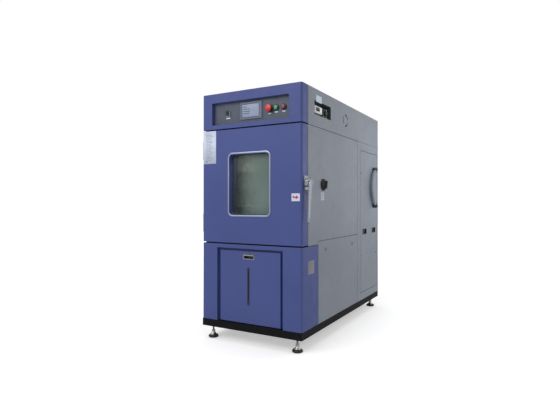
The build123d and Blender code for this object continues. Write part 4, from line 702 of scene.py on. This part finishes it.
# Levelling feet with thread, nuts, steel cone and ribbed rubber pad
thread_pitch = 2.5
foot_rise = foot_top / MM
pad = [
    (0, 0), (24, 0), (27, 0.6), (29.4, 2), (30.6, 4), (31, 6.5), (30.6, 8.6), (29.9, 9.4), (30.2, 10.2), (29.6, 12),
    (27.6, 14.4), (24.5, 16.4), (20.6, 17.8), (20.2, 18.0),
]
cone = [
    (0, 17.2), (20.4, 17.2), (20.6, 18.6), (19.8, 19.8), (16.6, 22.5), (13.4, 26.5), (11.4, 31), (10.4, 36),
    (10.1, 38.4), (9.2, 39.2), (0, 39.2),
]
stem_z0 = 39.0
stem_z1 = 104.0
root_r = 5.2
crest_r = 6.0
half_pitch = thread_pitch / 2
threads = [
    (crest_r if i % 2 else root_r, stem_z0 + i * half_pitch) for i in range(int((stem_z1 - stem_z0) / half_pitch))
]
rod = [(0, stem_z0 - 1), (root_r, stem_z0 - 1), *threads, (0, threads[-1][1])]


def nut_mesh(name, across, thick):
    """Hexagon nut with chamfered corners."""
    low_edge = [(crest_r, 0), (across * 0.93, 0), (across, 0.12 * thick)]
    high_edge = [(across, 0.88 * thick), (across * 0.93, thick), (crest_r, thick)]
    made = lathe_mesh(name, low_edge + high_edge)
    flat_to_flat = across * math.cos(math.pi / 6)
    for vertex in made.vertices:
        turn = math.atan2(vertex.co.y, vertex.co.x)
        to_flat = (turn + math.pi / 6) % (math.pi / 3) - math.pi / 6
        limit = flat_to_flat / math.cos(to_flat) * MM
        if vertex.co.xy.length > limit:
            vertex.co.xy *= limit / vertex.co.xy.length
    return made


nut_thick = 6.5
lock_nut = nut_mesh("foot_lock_nut", 10.4, nut_thick)
for cad_name in ("foot_front_left", "foot_front_right", "foot_rear_left", "foot_rear_right"):
    spot = Matrix.Translation((middle(cad_name).x, middle(cad_name).y, 0))
    rubber = piece(cad_name + "_pad", lathe_mesh(cad_name + "_pad", pad, 64), spot, cad_name, slot="black_rubber")
    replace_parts(rubber, cad_name)
    piece(cad_name + "_cone", lathe_mesh(cad_name + "_cone", cone, 64), spot, cad_name, slot="steel")
    piece(cad_name + "_stem", lathe_mesh(cad_name + "_stem", rod, 24), spot, cad_name, slot="steel")
    piece(cad_name + "_key", lock_nut, raised(spot, stem_z0 + 0.3), cad_name, slot="steel")
    piece(cad_name + "_lock_nut", lock_nut, raised(spot, foot_rise - nut_thick - 1), "cabinet", slot="steel")

# Hose: a ribbed rubber sleeve over the solid's own arc, with a straight end in each elbow
hose_r = wide("hose") / 2
hose_x = middle("hose").x / MM
hose_bend = 150.0
hose_end_y = front_y / MM + 1242.0
half_chord = 121.5
hose_mid_z = middle("hose").z / MM
half_turn = math.asin(half_chord / hose_bend)
centre_y = hose_end_y + hose_bend * math.cos(half_turn)
straight = 14.0
ribs = 26
rib_steps = 8
rib_deep = 0.7
hose_line = []
for i in range(ribs * rib_steps + 1):
    swing = half_turn * (1 - 2 * i / (ribs * rib_steps))
    hose_line.append((hose_x, centre_y - hose_bend * math.cos(swing), hose_mid_z + hose_bend * math.sin(swing)))
lead_in = Vector((0, math.sin(half_turn), math.cos(half_turn))) * straight
lead_out = Vector((0, lead_in.y, -lead_in.z))
hose_line = [Vector(hose_line[0]) + lead_in, *hose_line, Vector(hose_line[-1]) + lead_out]


def hose_radius(i):
    """The sleeve's radius at point i: a groove between each two ribs."""
    groove = 0.5 + 0.5 * math.cos(2 * math.pi * (i - 1) / rib_steps)
    return hose_r - 0.1 - rib_deep * groove ** 2


hose_mesh = tube_mesh("hose_sleeve", hose_line, hose_radius, 32)
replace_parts(piece("hose_sleeve", hose_mesh, AS_IS, "cabinet", slot="grey_hose"), "hose")

# Dark lining of the switch pocket, the limiter's case and marks
pocket_y0, pocket_y1, pocket_z0, pocket_z1 = 162.0, 404.0, 1276.0, 1358.0
pocket_deep = 46.5
pocket_w = pocket_y1 - pocket_y0
pocket_h = pocket_z1 - pocket_z0
pocket_place = on_right((pocket_y0 + pocket_y1) / 2, (pocket_z0 + pocket_z1) / 2)


def lining(low_end, high_end, out=0.1):
    """Section of a thin wall round an opening, from low_end to high_end, out mm into the solid's face."""
    return [(out, low_end), (out, high_end), (-0.5, high_end), (-0.5, low_end)]


def floor_plate(name, width, height, radius, thick, base):
    """The flat floor of a lined opening."""
    return plate_mesh(name, rounded(width, height, radius), thick, base=base, crown=0.1)


piece(
    "pocket_lining",
    frame_mesh("pocket_lining", rounded(pocket_w, pocket_h, 1), lining(-pocket_deep, -0.6)), pocket_place,
    "cabinet", slot="black_plastic", material=dark_case,
)
piece(
    "pocket_floor", floor_plate("pocket_floor", pocket_w - 1, pocket_h - 1, 1, 0.4, -pocket_deep - 0.1),
    pocket_place, "cabinet", slot="black_plastic", material=dark_case,
)
dial = middle("temperature_dial")
dial_back = low("temperature_dial").x
limiter_place = Matrix.Translation((dial_back, dial.y, dial.z)) @ RIGHT
limiter_front = (right_x - 20.5 * MM - dial_back) / MM
limiter_outline = rounded(62.4, 62.4, 1.5)
piece(
    "limiter_case",
    frame_mesh("limiter_case", limiter_outline, lining(limiter_front - 25.8, limiter_front + 0.3)),
    limiter_place, "cabinet", slot="black_plastic", material=dark_case,
)


def ring_plate(name, outer, inner_r, height):
    """A flat face from a closed outline in to a round hole."""
    n = len(outer)
    turns_round = [math.atan2(y, x) for x, y in outer]
    ring = [(inner_r * math.cos(turn), inner_r * math.sin(turn), height) for turn in turns_round]
    points = [(x, y, height) for x, y in outer] + ring
    faces = [(i, (i + 1) % n, n + (i + 1) % n, n + i) for i in range(n)]
    return mesh_of(name, points, faces)


case_face = piece(
    "limiter_face", ring_plate("limiter_face", limiter_outline, 5.0, limiter_front + 0.12), limiter_place,
    "cabinet", slot="black_plastic", material=dark_case,
)
case_skin = case_face.modifiers.new("skin", "SOLIDIFY")
case_skin.thickness = 0.16 * MM
limiter_lamp = screw_mesh("limiter_lamp", 4.0)
for i, (back, up) in enumerate(((-23, -23), (20, -25), (24, 24))):
    spot = limiter_place @ Matrix.Translation((back * MM, up * MM, (limiter_front + 0.2) * MM))
    piece(f"limiter_lamp_{i + 1}", limiter_lamp, spot, "cabinet", slot="white_plastic")

# Vent: a raised lip along the outer edge of each slot
lip_r = 41.6
vent_lean = math.radians(20)
vent_turn = math.radians(80)
vent_place = on_right(658.0, 1316.0)


def lip_radius(k):
    """Full in the middle of the lip and thin at its ends."""
    return 1.3 * math.sin(math.pi * (k + 1) / 18) + 0.3


for i in range(3):
    bends = [2 * math.pi * i / 3 + vent_lean + vent_turn * k / 16 for k in range(17)]
    arc = [(lip_r * math.cos(a), lip_r * math.sin(a), 0.1) for a in bends]
    name = f"vent_lip_{i + 1}"
    piece(name, tube_mesh(name, arc, lip_radius, 10), vent_place, "cabinet", slot="grey_paint")

# Finger cups: dark mouldings in the rear panels, seen as black openings
cup_w, cup_h, cup_deep = 90.0, 37.0, 10.0
cup_wall = [(0.1, -cup_deep), (0.1, 0.2), (1.6, 0.5), (1.6, 0.02), (-0.6, -0.4), (-0.6, -cup_deep)]
for side, place_on in (("right", on_right), ("left", on_left)):
    for where, back in (("front", 1050.0), ("rear", 1267.0)):
        cup_place = place_on(back, 544.0)
        name = f"cup_moulding_{where}_{side}"
        moulding = frame_mesh(name, rounded(cup_w, cup_h, 2), cup_wall)
        piece(name, moulding, cup_place, "cabinet", slot="black_plastic")
        name = f"cup_back_{where}_{side}"
        cup_floor = floor_plate(name, cup_w - 0.6, cup_h - 0.6, 2, 0.5, -cup_deep - 0.2)
        piece(name, cup_floor, cup_place, "cabinet", slot="black_plastic")

# Drawer: dark throat under the pull's lip, shade behind the gauge
throat_place = facing("drawer_pull", drawer_y)
throat_w, throat_h, throat_deep = 65.0, 24.0, 20.0
throat_wall = lining(-throat_deep, -0.3, out=0.05)
piece(
    "pull_throat", frame_mesh("pull_throat", rounded(throat_w, throat_h, 1.5), throat_wall), throat_place, "drawer",
    slot="black_plastic",
)
piece(
    "pull_floor", floor_plate("pull_floor", throat_w - 0.6, throat_h - 0.6, 1.5, 0.4, -throat_deep), throat_place,
    "drawer", slot="black_plastic",
)
gauge_h = tall("level_gauge")
gauge_place = facing("level_gauge", drawer_y)
piece(
    "gauge_rim", frame_mesh("gauge_rim", rounded(13.4, gauge_h - 6, 6.6), bead(1.2, 0.5)), gauge_place, "drawer",
    slot="black_plastic",
)
piece(
    "gauge_back", floor_plate("gauge_back", 12.4, gauge_h - 8, 6.1, 0.5, -2.4), gauge_place, "drawer",
    slot="black_plastic", material=dark_gap,
)

# Door: rubber sweep along the foot and ribs of the gasket
shell_low = low("door_shell")
sweep_w = wide("door_shell") - 22
sweep_place = Matrix.Translation((middle("door_shell").x, shell_low.y + 34 * MM, shell_low.z))
piece(
    "door_sweep", plate_mesh("door_sweep", rounded(sweep_w, 26, 4), 6.2, base=-6.0, crown=0.8), sweep_place,
    "door", slot="black_rubber",
)
gasket_place = facing("door_gasket", high("door_gasket").y, BACK)
for i, inset in enumerate((5.0, 13.0)):
    name = f"gasket_rib_{i + 1}"
    rib_outline = rounded(wide("door_gasket") - 2 * inset, tall("door_gasket") - 2 * inset, 12)
    piece(name, frame_mesh(name, rib_outline, bead(3.0, 0.25)), gasket_place, "door", slot="black_rubber")

# Back: a column of screws along each side of the sheet
back_half = wide("back_cover") / 2
back_mid = (middle("back_cover").x - mid_x) / MM
back_low = (low("back_cover").z - foot_top) / MM
back_high = (high("back_cover").z - foot_top) / MM
screw_rows = 6
screw_inset = 14
end_inset = 40
for row in range(screw_rows):
    up = back_low + end_inset + (back_high - back_low - 2 * end_inset) * row / (screw_rows - 1)
    for hand, sx in (("left", -1), ("right", 1)):
        spot = on_back(back_mid + sx * (back_half - screw_inset), up)
        piece(f"back_screw_{row + 1}_{hand}", screw_back, spot, "cabinet", slot="steel")

# Inside: lamp under the roof, temperature sensor on the baffle
roof_spot = Vector((mid_x + 60 * MM, front_y + 215 * MM, foot_top + 1161 * MM))
lamp_place = Matrix.Translation(roof_spot) @ Matrix.Rotation(math.pi, 4, "X")
lamp_rim = [(38, 0.2), (38, 4), (35, 7), (31, 7.5), (30, 6), (30, 0.2), (38, 0.2)]
piece("chamber_lamp_rim", lathe_mesh("chamber_lamp_rim", lamp_rim), lamp_place, "cabinet", slot="stainless")
lamp_dome = [(30, 1.0), (29.5, 6), (26, 10), (19, 13), (10, 14.6), (0, 15)]
piece(
    "chamber_lamp_glass", lathe_mesh("chamber_lamp_glass", lamp_dome), lamp_place, "cabinet", slot="clear_glass",
    material=lamp_glow,
)
probe_x = mid_x / MM + 150
probe_y = low("air_baffle").y / MM
probe_z = foot_top / MM + 1120
probe_line = [(probe_x, probe_y - ahead, probe_z) for ahead in (0.5, 20, 45, 70, 74)]
piece(
    "temperature_probe", tube_mesh("temperature_probe", probe_line, lambda i: 2.4 if i < 4 else 0.9, 16), AS_IS,
    "cabinet", slot="stainless",
)

# Camera, solved from the cabinet's straight edges in the photo: its place in mm, its angles in degrees
camera_right = 1440.5
camera_ahead = 2200.9
camera_up = 762.3
camera_lens = 28.81
camera_tilt = 90.304
camera_turn = 29.376
camera_data = bpy.data.cameras.new("camera")
camera_data.lens = camera_lens
camera_data.sensor_width = 36.0
camera = bpy.data.objects.new("camera", camera_data)
bpy.context.scene.collection.objects.link(camera)
camera.location = (mid_x + camera_right * MM, front_y - camera_ahead * MM, foot_top + camera_up * MM)
camera.rotation_euler = (math.radians(camera_tilt), 0, math.radians(camera_turn))
bpy.context.scene.camera = camera


# Studio: pale floor, soft lights, white background
def soft_light(name, spot, aim, size, power):
    """A white area lamp at a spot, turned to its aim. Places in metres."""
    data = bpy.data.lights.new(name, "AREA")
    data.shape = "RECTANGLE"
    data.size = size[0]
    data.size_y = size[1]
    data.energy = power
    made = bpy.data.objects.new(name, data)
    bpy.context.scene.collection.objects.link(made)
    made.location = spot
    made.rotation_euler = (Vector(aim) - Vector(spot)).to_track_quat("-Z", "Y").to_euler()


chest = (0, 0, 0.9)
soft_light("key_light", (-1.2, -4.2, 3.4), chest, (3.0, 2.4), 90)
soft_light("side_light", (1.55, 0.7, 1.08), (0.34, 0.5, 1.0), (0.5, 0.8), 7)
soft_light("top_light", (0, 0, 4.6), (0, 0, 0), (4, 4), 60)
lamp_spot = roof_spot - Vector((0, 0, 0.03))
soft_light("chamber_light", lamp_spot, lamp_spot + Vector((0, 0, -1)), (0.06, 0.06), 0.7)

floor_mesh = bpy.data.meshes.new("floor")
half = 14.0
floor_corners = [(-half, -half, 0), (half, -half, 0), (half, half, 0), (-half, half, 0)]
floor_mesh.from_pydata(floor_corners, [], [(0, 1, 2, 3)])
floor = bpy.data.objects.new("floor", floor_mesh)
bpy.context.scene.collection.objects.link(floor)
floor_material = bpy.data.materials.new("pale_floor")
floor_material.use_nodes = True
floor_tree = floor_material.node_tree
floor_shader = floor_tree.nodes["Principled BSDF"]
floor_shader.inputs["Base Color"].default_value = (0.8, 0.8, 0.8, 1)
floor_shader.inputs["Roughness"].default_value = 0.9
floor_shader.inputs["Specular IOR Level"].default_value = 0.0
floor_shader.inputs["Emission Color"].default_value = (1, 1, 1, 1)
floor_ray = add(floor_tree, "ShaderNodeLightPath")
floor_seen = add(
    floor_tree, "ShaderNodeMath",
    {0: floor_ray.outputs["Is Camera Ray"], 1: floor_ray.outputs["Is Transmission Ray"]}, operation="MAXIMUM",
)
floor_place = add(floor_tree, "ShaderNodeTexCoord").outputs["Object"]
floor_far = add(floor_tree, "ShaderNodeVectorMath", {0: floor_place}, operation="LENGTH").outputs["Value"]
backdrop_glow = spread(floor_tree, floor_far, 0.9, 4.5, 0.42, 0.85)
floor_glow = add(
    floor_tree, "ShaderNodeMath", {0: floor_seen.outputs[0], 1: backdrop_glow}, operation="MULTIPLY",
).outputs[0]
floor_tree.links.new(floor_glow, floor_shader.inputs["Emission Strength"])
floor_mesh.materials.append(floor_material)

world = bpy.data.worlds.new("studio")
bpy.context.scene.world = world
world.use_nodes = True
sky = world.node_tree
sky.nodes.clear()
ray = add(sky, "ShaderNodeLightPath")
seen = add(
    sky, "ShaderNodeMath", {0: ray.outputs["Is Camera Ray"], 1: ray.outputs["Is Glossy Ray"]}, operation="MAXIMUM",
)
through = add(
    sky, "ShaderNodeMath", {0: seen.outputs[0], 1: ray.outputs["Is Transmission Ray"]}, operation="MAXIMUM",
)
lighting = add(sky, "ShaderNodeBackground", {"Color": (1, 1, 1, 1), "Strength": 0.5})
backdrop = add(sky, "ShaderNodeBackground", {"Color": (1, 1, 1, 1), "Strength": 1.0})
mixed = add(sky, "ShaderNodeMixShader", {0: through.outputs[0], 1: lighting.outputs[0], 2: backdrop.outputs[0]})
add(sky, "ShaderNodeOutputWorld", {"Surface": mixed.outputs[0]})

bpy.context.scene.view_settings.view_transform = "Standard"
